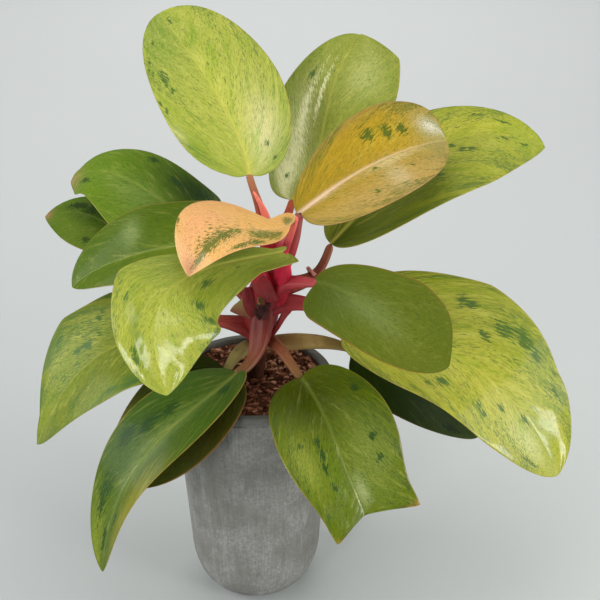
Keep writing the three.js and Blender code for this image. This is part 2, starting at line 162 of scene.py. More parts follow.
# %% Sums and mixes
def plug(tree, socket, value):
    """Feed a socket from another node's output, or set it to a plain value."""
    if isinstance(value, bpy.types.NodeSocket):
        tree.links.new(value, socket)
    else:
        socket.default_value = value


def math_node(tree, operation, first, second):
    """One sum on two values."""
    node = tree.nodes.new("ShaderNodeMath")
    node.operation = operation
    plug(tree, node.inputs[0], first)
    plug(tree, node.inputs[1], second)
    return node.outputs[0]


def times(tree, first, second):
    """The product of two values."""
    return math_node(tree, "MULTIPLY", first, second)


def swing(tree, value, gain):
    """A value from 0 to 1 made to swing about zero: gain times the value less a half."""
    return times(tree, math_node(tree, "SUBTRACT", value, 0.5), gain)


def between(tree, value, low, high, start=0.0, end=1.0):
    """A smooth step: start below low, end above high."""
    node = tree.nodes.new("ShaderNodeMapRange")
    node.interpolation_type = "SMOOTHSTEP"
    plug(tree, node.inputs["Value"], value)
    plug(tree, node.inputs["From Min"], low)
    plug(tree, node.inputs["From Max"], high)
    plug(tree, node.inputs["To Min"], start)
    plug(tree, node.inputs["To Max"], end)
    return node.outputs["Result"]


def mix(tree, factor, first, second, blend="MIX"):
    """Two colours mixed by a factor; in a colour mix they are sockets 6 and 7, the result is 2."""
    node = tree.nodes.new("ShaderNodeMix")
    node.data_type = "RGBA"
    node.blend_type = blend
    plug(tree, node.inputs["Factor"], factor)
    plug(tree, node.inputs[6], first)
    plug(tree, node.inputs[7], second)
    return node.outputs[2]


def tinge(tree, colour, tint, value, low, high, strength=1.0):
    """The colour with a tint mixed in: none where the value is below low, strength above high."""
    return mix(tree, between(tree, value, low, high, 0.0, strength), colour, tint)


print("sums and mixes ready")

# %% Patterns, places and bumps
def stretch(tree, vector, scale, shift=(0.0, 0.0, 0.0)):
    """A Mapping node that scales and shifts a pattern's coordinates."""
    node = tree.nodes.new("ShaderNodeMapping")
    plug(tree, node.inputs["Vector"], vector)
    node.inputs["Scale"].default_value = scale
    node.inputs["Location"].default_value = shift
    return node.outputs["Vector"]


def noise(tree, vector, scale, detail=3.0, roughness=0.55):
    """Soft cloudy noise from 0 to 1."""
    node = tree.nodes.new("ShaderNodeTexNoise")
    plug(tree, node.inputs["Vector"], vector)
    node.inputs["Scale"].default_value = scale
    node.inputs["Detail"].default_value = detail
    node.inputs["Roughness"].default_value = roughness
    return node.outputs["Fac"]


def cells(tree, vector, scale):
    """Distance to the nearest of many scattered points, in cell widths."""
    node = tree.nodes.new("ShaderNodeTexVoronoi")
    plug(tree, node.inputs["Vector"], vector)
    node.inputs["Scale"].default_value = scale
    return node.outputs["Distance"]


def attribute(tree, name, output="Fac"):
    """A value that the mesh carries at each of its points."""
    node = tree.nodes.new("ShaderNodeAttribute")
    node.attribute_name = name
    return node.outputs[output]


def parts(tree, vector):
    """The X, Y and Z of a vector, each as a value."""
    node = tree.nodes.new("ShaderNodeSeparateXYZ")
    plug(tree, node.inputs[0], vector)
    return node.outputs


def own_place(tree):
    """Where a point is in its own object, in metres from the origin."""
    return tree.nodes.new("ShaderNodeTexCoord").outputs["Object"]


def laid_place(tree):
    """Where a point is on its surface: the UV map that each mesh carries as place."""
    node = tree.nodes.new("ShaderNodeUVMap")
    node.uv_map = "place"
    return node.outputs["UV"]


def bump(tree, height, depth, strength):
    """A normal bent by a height, whose depth is in metres."""
    node = tree.nodes.new("ShaderNodeBump")
    node.inputs["Strength"].default_value = strength
    node.inputs["Distance"].default_value = depth
    plug(tree, node.inputs["Height"], height)
    return node.outputs["Normal"]


print("patterns ready")

# %% [markdown]
# A finish that several pieces share is better as a group: a small machine with named sockets that
# is built once and placed in each material with its own values.

# %% Material and group helpers
def new_material(name, roughness, specular, coat=0.0, coat_roughness=0.1):
    """A material with a Principled BSDF, whose plain values are set on its own sockets."""
    material = bpy.data.materials.new(name)
    material.use_nodes = True
    shader = material.node_tree.nodes["Principled BSDF"]
    shader.inputs["Roughness"].default_value = roughness
    shader.inputs["Specular IOR Level"].default_value = specular
    shader.inputs["Coat Weight"].default_value = coat
    shader.inputs["Coat Roughness"].default_value = coat_roughness
    return material, material.node_tree, shader


SOCKETS = {float: "NodeSocketFloat", tuple: "NodeSocketColor", list: "NodeSocketVector"}


def new_group(name, inputs, outputs):
    """A shader group: inputs are named with their default values, outputs with their kinds."""
    tree = bpy.data.node_groups.new(name, "ShaderNodeTree")
    for label, value in inputs.items():
        title, kind = label.replace("_", " "), SOCKETS[type(value)]
        socket = tree.interface.new_socket(name=title, in_out="INPUT", socket_type=kind)
        socket.default_value = value
    for label, kind in outputs.items():
        tree.interface.new_socket(name=label, in_out="OUTPUT", socket_type=SOCKETS[kind])
    entry = tree.nodes.new("NodeGroupInput")
    leave = tree.nodes.new("NodeGroupOutput")
    return tree, entry.outputs, leave.inputs


def use_group(tree, group, **values):
    """A group placed in a material; each keyword feeds the input with that name."""
    node = tree.nodes.new("ShaderNodeGroup")
    node.node_tree = group
    for label, value in values.items():
        plug(tree, node.inputs[label.replace("_", " ")], value)
    return node.outputs


print("material helpers ready")

# %% [markdown]
# Every piece is a surface worked out with numpy and handed to Blender as whole arrays. A closed
# surface needs each edge to be shared by two faces that turn the same way round, so one helper
# joins rings of points and closes their ends, and another makes the object.

# %% Mesh helpers
def make_piece(name, points, faces, materials, nodes,
               numbers=None, colours=None, uv=None, kinds=None):
    """An object at the origin from points in millimetres, which stands in for its CAD nodes.

    Numbers, colours and uv are values at the points, for the material to read, and kinds says
    which of the materials each face has."""
    mesh = bpy.data.meshes.new(name)
    mesh.from_pydata(np.asarray(points) * MM, [], faces)
    for label, values in (numbers or {}).items():
        layer = mesh.attributes.new(label, "FLOAT", "POINT")
        layer.data.foreach_set("value", np.asarray(values, np.float32).ravel())
    for label, values in (colours or {}).items():
        layer = mesh.attributes.new(label, "FLOAT_COLOR", "POINT")
        solid = np.concatenate([values, np.ones((len(values), 1))], axis=1)
        layer.data.foreach_set("color", solid.astype(np.float32).ravel())
    if uv is not None:
        corners = np.empty(len(mesh.loops), np.int32)
        mesh.loops.foreach_get("vertex_index", corners)
        mesh.uv_layers.new(name="place").data.foreach_set("uv", uv[corners].astype(np.float32).ravel())
    for material in materials:
        mesh.materials.append(material)
    if kinds is not None:
        mesh.polygons.foreach_set("material_index", np.asarray(kinds, np.int32))
    mesh.polygons.foreach_set("use_smooth", np.ones(len(mesh.polygons), bool))
    mesh.update()
    piece = bpy.data.objects.new(name, mesh)
    bpy.context.scene.collection.objects.link(piece)
    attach(piece, "root")
    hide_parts(*nodes)
    return piece


def ring_faces(rings, sides, closed_ends=True):
    """Quads between stacked rings of points, and a fan from each end ring to its own end point.

    Ring r holds points r*sides..r*sides+sides-1; the two end points follow the last ring. Rings
    that turn anticlockwise, seen from the last ring's end, give faces that point outwards."""
    side = np.arange(sides)
    after = (side + 1) % sides
    low = (np.arange(rings - 1) * sides)[:, None]
    quads = np.stack([low + side, low + after, low + sides + after, low + sides + side], axis=-1)
    faces = quads.reshape(-1, 4).tolist()
    if closed_ends:
        start = rings * sides
        last = start - sides
        faces += np.stack([np.full(sides, start), after, side], axis=-1).tolist()
        faces += np.stack([np.full(sides, start + 1), last + side, last + after], axis=-1).tolist()
    return faces


print("mesh helpers ready")

# %% [markdown]
# A leaf of this plant is a broad oval blade on a stalk. It could be sculpted by hand, but sixteen
# leaves that differ only in their numbers are better made by one formula. Four points lie on the
# midrib, face is the way that the upper side looks, and each half has a width, a fold at the
# midrib and a curl towards the margin. Egg moves the widest place, lobe and point shape the two
# ends, ears push the outline out or in at a place, and wave ripples the margin. These are the same
# driving values as in the part's source, so that each fine blade lies on its plain solid.

# %% Leaf shapes
LEAF_DEFAULTS = dict(egg=(0.1, 0.1), fold=(8, 8), curl=(-10, -10), lobe=0.15, point=0.08, wave=(0, 1, 0))
LEAVES = {
    1: dict(midrib=[(0, 20, 341), (-10, 45, 364), (-33, 78, 393), (-68, 112, 430)],
            face=(0.15, -0.62, 0.78), halves=(43, 48), egg=(-0.12, -0.33), curl=(-14, -14),
            lobe=0.12, point=0, wave=(1.5, 1.5, 0.2),
            stalk=[(13, 1, 262), (12, 8, 299), (5, 15, 325), (0, 20, 341)], widths=(8, 5.5, 2.8, 2.5)),
    2: dict(midrib=[(30, 42, 312), (50, 74, 341), (59, 108, 369), (81, 148, 404)],
            face=(-0.2, -0.6, 0.78), halves=(41, 44), egg=(-0.05, -0.5), fold=(6, 6), lobe=0.16, point=0.03,
            ears=[(1, 0.82, 0.12, 0.04, 0.2)], wave=(2, 1.5, 0.4),
            stalk=[(13, 2, 262), (20, 19, 288), (26, 32, 302), (30, 42, 312)], widths=(7, 4, 2.6)),
    3: dict(midrib=[(36, 0, 321), (67, 18, 337), (102, 34, 350), (140, 46, 356)],
            face=(-0.1, -0.35, 0.94), halves=(37, 43), egg=(-0.55, -0.1), fold=(22, 5), curl=(0, 0),
            point=0, ears=[(0, 0.9, 0.1, 0, 0.16), (0, 0.1, 0.1, 0, -0.12)],
            stalk=[(13, 0, 262), (25, 0, 288), (31, 1, 305), (36, 2, 320)], widths=(9, 8, 6, 3)),
    4: dict(midrib=[(58, 24, 285), (105, 55, 323), (157, 84, 344), (222, 94, 332)],
            face=(-0.2, -0.45, 0.88), halves=(35, 56), egg=(0, -0.25), fold=(12, 12), curl=(-6, -6),
            lobe=0.02, point=0.1, wave=(1.5, 1.5, 0.6),
            stalk=[(12, 2, 256), (34, 8, 261), (48, 15, 266), (58, 24, 285)], widths=(8, 6.5, 3.8, 3)),
    5: dict(midrib=[(-36, 48, 291), (-70, 78, 295), (-108, 102, 307), (-146, 118, 294)],
            face=(-0.1, -0.5, 0.85), halves=(41, 36), egg=(0.3, 0.1), fold=(8, -4), curl=(-10, -15),
            ears=[(0, 0.88, 0.1, 0.02, 0.22), (1, 0.87, 0.08, 0, -0.17)], wave=(1.5, 1.5, 0.1),
            stalk=[(12, 3, 250), (1, 22, 275), (-16, 36, 287), (-36, 48, 291)], widths=(8, 4, 2.5)),
    6: dict(midrib=[(-89, 75, 261), (-115, 90, 270), (-141, 104, 273), (-169, 114, 265)],
            face=(-0.2, -0.5, 0.85), halves=(30, 24), egg=(0, 0.1), fold=(10, -10), point=0.1,
            stalk=[(8, 4, 238), (-24, 34, 255), (-57, 60, 261), (-89, 75, 261)], widths=(6, 3.2, 2.3)),
    7: dict(midrib=[(-15, 5, 297), (-52, 12, 289), (-95, 18, 275), (-133, 22, 250)],
            face=(-0.2, -0.5, 0.85), halves=(25, 42), egg=(0.1, 0), fold=(6, 6), curl=(-14, -14),
            wave=(2, 1.5, 0),
            stalk=[(15, -2, 246), (9, -8, 270), (-1, -5, 286), (-15, 5, 297)], widths=(8, 6.5, 2.6)),
    8: dict(midrib=[(33, -12, 323), (11, -30, 322), (-13, -54, 332), (-36, -76, 310)],
            face=(-0.3, -0.5, 0.8), halves=(20, 36), egg=(-0.6, -0.4), fold=(10, 10), curl=(-20, -20),
            lobe=0.06, point=0.14, ears=[(0, 0.16, 0.12, 0, -0.4), (1, 0.33, 0.13, 0, -0.4)],
            stalk=[(13, 0, 260), (23, -5, 291), (29, -9, 309), (33, -12, 323)], widths=(6, 4, 2.3)),
    9: dict(midrib=[(24, -22, 301), (-27, -52, 303), (-56, -80, 289), (-51, -105, 238)],
            face=(-0.2, -0.6, 0.7), halves=(34, 30), egg=(-0.55, -0.35), fold=(6, 6), lobe=0.16,
            ears=[(0, 0.13, 0.07, -0.03, 0.14), (0, 0.3, 0.08, 0, -0.16), (0, 0.72, 0.16, 0, 0.3),
                  (1, 0.22, 0.12, 0, -0.28), (1, 0.42, 0.14, 0, -0.5), (1, 0.59, 0.07, 0, 0.36)],
            wave=(1.5, 1, 0.3),
            stalk=[(16, 0, 250), (23, -8, 272), (25, -17, 290), (24, -22, 301)], widths=(9, 8, 4.5, 3)),
    10: dict(midrib=[(-37, 0, 236), (-80, -12, 228), (-120, -24, 209), (-159, -34, 148)],
             face=(-0.5, -0.5, 0.75), halves=(44, 45), egg=(0.1, -0.05),
             ears=[(1, 0.63, 0.08, 0, 0.24), (1, 0.87, 0.12, 0, -0.26)], wave=(2, 2, 0.3),
             stalk=[(6, 3, 222), (-6, 0, 230), (-20, -1, 234), (-37, 0, 236)], widths=(9, 7.5, 5, 3.2)),
    11: dict(midrib=[(-10, -42, 215), (-43, -80, 205), (-80, -104, 171), (-102, -118, 100)],
             face=(-0.4, -0.7, 0.5), halves=(21, 31), fold=(20, 4), lobe=0.12, wave=(2.5, 1.5, 0.1),
             stalk=[(9, -3, 248), (7, -15, 232), (2, -27, 219), (-10, -42, 215)], widths=(9, 8.5, 5, 3.2)),
    12: dict(midrib=[(-18, -27, 207), (-44, -52, 194), (-73, -66, 170), (-106, -70, 155)],
             face=(-0.2, -0.6, 0.7), halves=(38, 36), lobe=0.12, egg=(0.1, 0.1),
             stalk=[(4, 4, 210), (-3, -6, 215), (-10, -16, 215), (-18, -27, 207)], widths=(6, 6, 5, 2.8)),
    13: dict(midrib=[(36, -37, 208), (51, -65, 198), (65, -88, 174), (80, -105, 142)],
             face=(0.1, -0.6, 0.6), halves=(44, 40), egg=(-0.15, 0), lobe=0.12, point=0,
             ears=[(0, 0.86, 0.08, 0.17, 0.46), (1, 0.86, 0.08, 0.15, 0.3)], wave=(1.5, 1.5, 0.6),
             stalk=[(6, 4, 214), (16, -11, 222), (26, -24, 217), (36, -37, 208)], widths=(6, 4.5, 3.8, 3)),
    14: dict(midrib=[(47, -30, 281), (77, -48, 276), (107, -64, 257), (136, -75, 242)],
             face=(0.1, -0.65, 0.75), halves=(31, 30), egg=(-0.55, 0.3), lobe=0.22, point=0.06,
             ears=[(0, 0.14, 0.12, 0.02, -0.2), (0, 0.56, 0.14, 0, 0.18), (1, 0.12, 0.12, 0, 0.1)],
             stalk=[(14, 0, 250), (23, -9, 268), (35, -19, 276), (47, -30, 281)], widths=(9, 6.5, 4.6, 3)),
    15: dict(midrib=[(72, 2, 226), (128, -16, 223), (181, -38, 198), (223, -56, 136)],
             face=(0.3, -0.6, 0.75), halves=(60, 44), egg=(0, -0.2), lobe=0.16, point=0.06,
             ears=[(0, 0.5, 0.1, 0, 0.16), (0, 0.7, 0.08, 0, -0.1)], wave=(3, 1.5, 0.2),
             stalk=[(11, -2, 246), (29, -3, 251), (50, -1, 245), (72, 2, 226)], widths=(9, 6.5, 4.5, 3.4)),
    16: dict(midrib=[(75, 5, 206), (111, 2, 186), (142, 0, 160), (173, -2, 132)],
             face=(0.4, -0.5, 0.75), halves=(34, 33), lobe=0.16, egg=(0.1, 0.35),
             ears=[(1, 0.1, 0.1, 0.02, -0.2)],
             stalk=[(7, 4, 212), (29, 2, 215), (52, 3, 214), (75, 5, 206)], widths=(6, 6.8, 5.5, 2.8)),
}
print(len(LEAVES), "leaves")

# %% [markdown]
# Midribs, stalks and the stem all bend gently, so four points are enough for each, and the one
# cubic curve that passes through them is smooth without any handles to set.

# %% Curves through four points
def curve_through(points):
    """Control points of the cubic curve that passes through four points at 0, 1/3, 2/3 and 1."""
    a, b, c, d = np.asarray(points, float)
    return np.stack([a, (-5 * a + 18 * b - 9 * c + 2 * d) / 6, (2 * a - 9 * b + 18 * c - 5 * d) / 6, d])


def along_curve(control, place):
    """Points on the cubic: the four control points weighed by the Bernstein polynomials of place."""
    t = np.asarray(place, float)[..., None]
    a, b, c, d = control
    return (1 - t) ** 3 * a + 3 * (1 - t) ** 2 * t * b + 3 * (1 - t) * t ** 2 * c + t ** 3 * d


def unit(vectors):
    """Vectors scaled to length one."""
    return vectors / np.maximum(np.linalg.norm(vectors, axis=-1, keepdims=True), 1e-12)


def heading(control, place):
    """The unit tangent: the curve's derivative, scaled to length one."""
    t = np.asarray(place, float)[..., None]
    a, b, c, d = control
    return unit((1 - t) ** 2 * (b - a) + 2 * (1 - t) * t * (c - b) + t ** 2 * (d - c))


def curve_length(control):
    """The summed length of 200 short chords."""
    points = along_curve(control, np.linspace(0, 1, 201))
    return np.linalg.norm(np.diff(points, axis=0), axis=1).sum()


print("leaf 15's midrib is", round(curve_length(curve_through(LEAVES[15]["midrib"]))), "mm long")

# %% [markdown]
# The blade is a grid: rows walk the outline by an angle from the base to the tip, and columns go
# from the left margin over the midrib to the right margin. Rows bend towards the tip as the side
# veins do, so that the mesh, the furrows and the markings all run the same way.

# %% Blade's middle surface
NARROWEST = 0.08


def blade_sheet(leaf, angle, across):
    """Middle surface at outline angles (0 base, pi tip) and signed shares (-1 left, 1 right).

    Length along the midrib goes from the row's root to the outline with the share to the power
    1.5. The half is an arc that starts at its fold and turns by its curl, plus the margin's wave.
    An ear is a bell-shaped push on one half's outline, and no pull brings it onto the midrib.
    Returns the points, the length coordinate and the distance from the midrib in mm."""
    curve = curve_through(leaf["midrib"])
    right = across > 0
    share = np.abs(across)
    pick = lambda pair: np.where(right, pair[1], pair[0])
    run = (1 - np.cos(angle)) / 2
    sine = np.sin(angle)
    reach_along = run - leaf["lobe"] * sine * (1 - run) ** 2 - leaf["point"] * sine * run ** 2
    reach_across = sine * (1 + pick(leaf["egg"]) * np.cos(angle))
    for half, at, spread, forward, outward in leaf.get("ears", []):
        push = np.exp(-np.abs((angle / np.pi - at) / spread) ** 1.3) * (right == bool(half))
        reach_along = reach_along + forward * push
        reach_across = reach_across + outward * push * np.maximum(sine, 0) ** 0.25
    reach_across = np.maximum(reach_across, NARROWEST * sine)
    root = 0.97 * run ** 1.15 + 0.03 * run
    x = root + (reach_along - root) * share ** 1.5
    y = reach_across * share
    place = np.clip(x, 0, 1)
    ahead = heading(curve, place)
    point = along_curve(curve, place) + ahead * ((x - place) * curve_length(curve))[..., None]
    facing = np.asarray(leaf["face"], float)
    up = unit(facing - ahead * (ahead @ facing)[..., None])
    aside = np.cross(ahead, up)
    fold = np.radians(pick(leaf["fold"]))
    curl = np.radians(pick(leaf["curl"])) + 1e-6
    width = pick(leaf["halves"])
    out = width * (np.sin(fold + curl * y) - np.sin(fold)) / curl
    height, waves, start = leaf["wave"]
    rise = width * (np.cos(fold) - np.cos(fold + curl * y)) / curl
    rise = rise + height * y ** 2 * np.sin(2 * np.pi * (waves * x + start + 0.3 * right))
    sheet = point + aside * (np.where(right, 1, -1) * out)[..., None] + up * rise[..., None]
    return sheet, x, width * y


ROWS = 120
NEAR_MIDRIB = [0, 0.012, 0.026, 0.044, 0.066, 0.094, 0.13, 0.17]
NEAR_MARGIN = [0.885, 0.92, 0.948, 0.97, 0.985, 0.995, 1]
SHARES = np.concatenate([NEAR_MIDRIB, np.linspace(0.215, 0.845, 15), NEAR_MARGIN])
ACROSS = np.concatenate([-SHARES[:0:-1], SHARES])
print("blade grid:", ROWS, "rows by", len(ACROSS), "columns")

# %% [markdown]
# The sheet becomes a closed blade with two faces that meet in a rounded margin. Above, the midrib
# is a soft groove and the side veins are faint furrows, with the green between them a little
# puffed. Below, the midrib stands out as a rib that thins towards the tip. These are real shapes
# and not only a bump in the material, because a glint bends visibly over each of them.

# %% Blade's two faces
def sheet_normals(sheet):
    """Unit normals: the cross product of the grid's two directions, borrowed at the collapsed ends."""
    rows = np.gradient(sheet, axis=0)
    columns = np.gradient(sheet, axis=1)
    normals = unit(np.cross(columns, rows))
    normals[0] = unit(normals[1].mean(axis=0))
    normals[-1] = unit(normals[-2].mean(axis=0))
    return normals


def rounded(depth, reach, least=0.0):
    """A quarter circle: one where there is no depth, down to the least where it fills the reach."""
    return np.sqrt(np.clip(1 - (np.clip(depth, 0, 1) / reach) ** 2, least, 1))


def vein_place(angle, across, sweep):
    """Which side vein a point is on: straight out at the midrib, swept towards the tip by sweep."""
    share = np.abs(across)
    lean = sweep * share ** 0.8
    return (angle / np.pi - lean) / (1 - lean)


HALF_THICKNESS, EDGE_SHARE, RIB_HEIGHT, MIDRIB_GROOVE, SWELL_HEIGHT = 0.4, 0.03, 1.5, 0.45, 0.45
SIDE_VEINS, VEIN_SWEEP = 15, 0.6


def blade_surface(leaf, number, puff, pucker):
    """Upper and lower grids, and what the material needs to know at each point.

    Half the thickness falls to nothing at the margin as a quarter circle. Both faces share a
    furrow under each side vein, |sin| of the vein count times its place, and a slow swell of
    crossing sines, with a quicker pucker towards the tip. The midrib's groove and its rib are
    bells of the distance from it, and both thin towards the tip."""
    angle = np.linspace(0, np.pi, ROWS + 1)[:, None] * np.ones(len(ACROSS))
    across = np.ones((ROWS + 1, 1)) * ACROSS
    sheet, x, distance = blade_sheet(leaf, angle, across)
    normals = sheet_normals(sheet)
    share = np.abs(across)
    vein = vein_place(angle, across, VEIN_SWEEP)
    thickness = HALF_THICKNESS * rounded(share - (1 - EDGE_SHARE), EDGE_SHARE)
    fade = np.clip(share / 0.12, 0, 1) * np.clip((1 - share) / 0.25, 0, 1) * np.sin(angle) ** 0.5
    furrow = puff * (np.abs(np.sin(np.pi * SIDE_VEINS * vein)) ** 0.6 - 0.7) * fade
    swell = np.sin(7.3 * x + 2.1 * number + 2.4 * across) * np.sin(4.1 * across + 1.7 * number)
    swell = SWELL_HEIGHT * swell * np.sin(angle) * share
    tip = np.clip((x - 0.55) / 0.3, 0, 1) * share.clip(0, 0.5) * 2 * np.sin(angle) ** 0.5
    swell = swell + pucker * np.sin(23 * x + 3 * across + number) * np.sin(6.5 * across - 9 * x) * tip
    taper = 1 - 0.8 * x.clip(0, 1)
    groove = MIDRIB_GROOVE * taper * np.exp(-(distance / (1.5 * taper)) ** 2)
    keel = RIB_HEIGHT * taper * np.exp(-(distance / (1.4 * taper + 0.2)) ** 2) * np.clip(angle / 0.1, 0, 1)
    upper = sheet + normals * (thickness + furrow + swell - groove)[..., None]
    lower = sheet + normals * (furrow + swell - thickness - keel)[..., None]
    return dict(upper=upper, lower=lower, x=x, across=across, vein=vein, distance=distance)


def blade_faces(rows, columns):
    """Faces over the upper grid (margins included) and the lower grid (margins shared).

    Point 0 is the base and point 1 the tip. The upper rows follow, then the lower rows without
    their two margin points, which are the upper rows' own."""
    inner = rows - 1
    upper = 2 + np.arange(inner * columns).reshape(inner, columns)
    lower = upper.copy()
    lower[:, 1:-1] = 2 + inner * columns + np.arange(inner * (columns - 2)).reshape(inner, columns - 2)
    faces, kinds = [], []
    for grid, kind in ((upper, 0), (lower, 1)):
        quads = np.stack([grid[:-1, :-1], grid[:-1, 1:], grid[1:, 1:], grid[1:, :-1]], axis=-1)
        base = np.stack([np.zeros(columns - 1, int), grid[0, 1:], grid[0, :-1]], axis=-1)
        tip = np.stack([np.ones(columns - 1, int), grid[-1, :-1], grid[-1, 1:]], axis=-1)
        for part in (quads.reshape(-1, 4), base, tip):
            faces += (part[:, ::-1] if kind else part).tolist()
            kinds += [kind] * len(part)
    return faces, kinds


def pack_grid(upper, lower):
    """One list of points or values in the order that blade_faces uses."""
    shape = upper.shape[2:]
    ends = np.stack([upper[0, 0], upper[-1, 0]])
    return np.concatenate([ends, upper[1:-1].reshape(-1, *shape), lower[1:-1, 1:-1].reshape(-1, *shape)])


BLADE_FACES, BLADE_KINDS = blade_faces(ROWS, len(ACROSS))
print("a blade has", len(BLADE_FACES), "faces")

# %% [markdown]
# Variegation is a patchwork: every leaf has its own ground colour, soft washes of other colours,
# and sharp dark-green splashes that follow the veins. A picture laid over the leaf would fix every
# fleck, but it can't be made sharper later. Here the washes and splashes are soft ovals, set on
# each leaf and stored in the mesh, and the shader breaks their edges up along the veins.
# A few of the washes are painted light, not the leaf's own colour: sheens, a glint and a shadow.

# %% Washes of colour
def lay_washes(ground, washes, x, across):
    """Colour at each point: the ground, then each oval wash mixed in.

    A wash is (along, across, long spread, cross spread, strength, colour), and its weight is the
    strength times exp of minus the squared distance in spreads."""
    colour = np.ones((*x.shape, 3)) * seen(*ground)
    for at, side, long, wide, strength, tint in washes:
        weight = strength * np.exp(-((x - at) / long) ** 2 - ((across - side) / wide) ** 2)
        colour = colour + weight.clip(0, 1)[..., None] * (seen(*tint) - colour)
    return colour


SPLASH_HEIGHT, SPLASH_STEEPNESS = 1.05, 0.9


def lay_spots(spots, x, across):
    """Strength of the splashes: at each point the highest of the ovals' bells.

    A spot is (along, across, long spread, cross spread), and its bell is the splash height times
    exp of minus the steepness times the squared distance in spreads."""
    field = np.zeros(x.shape)
    for at, side, long, wide in spots:
        away = ((x - at) / long) ** 2 + ((across - side) / wide) ** 2
        field = np.maximum(field, SPLASH_HEIGHT * np.exp(-SPLASH_STEEPNESS * away))
    return field


print("a splash's middle:", lay_spots([(0.5, 0.0, 0.1, 0.1)], np.array([0.5]), np.array([0.0])))
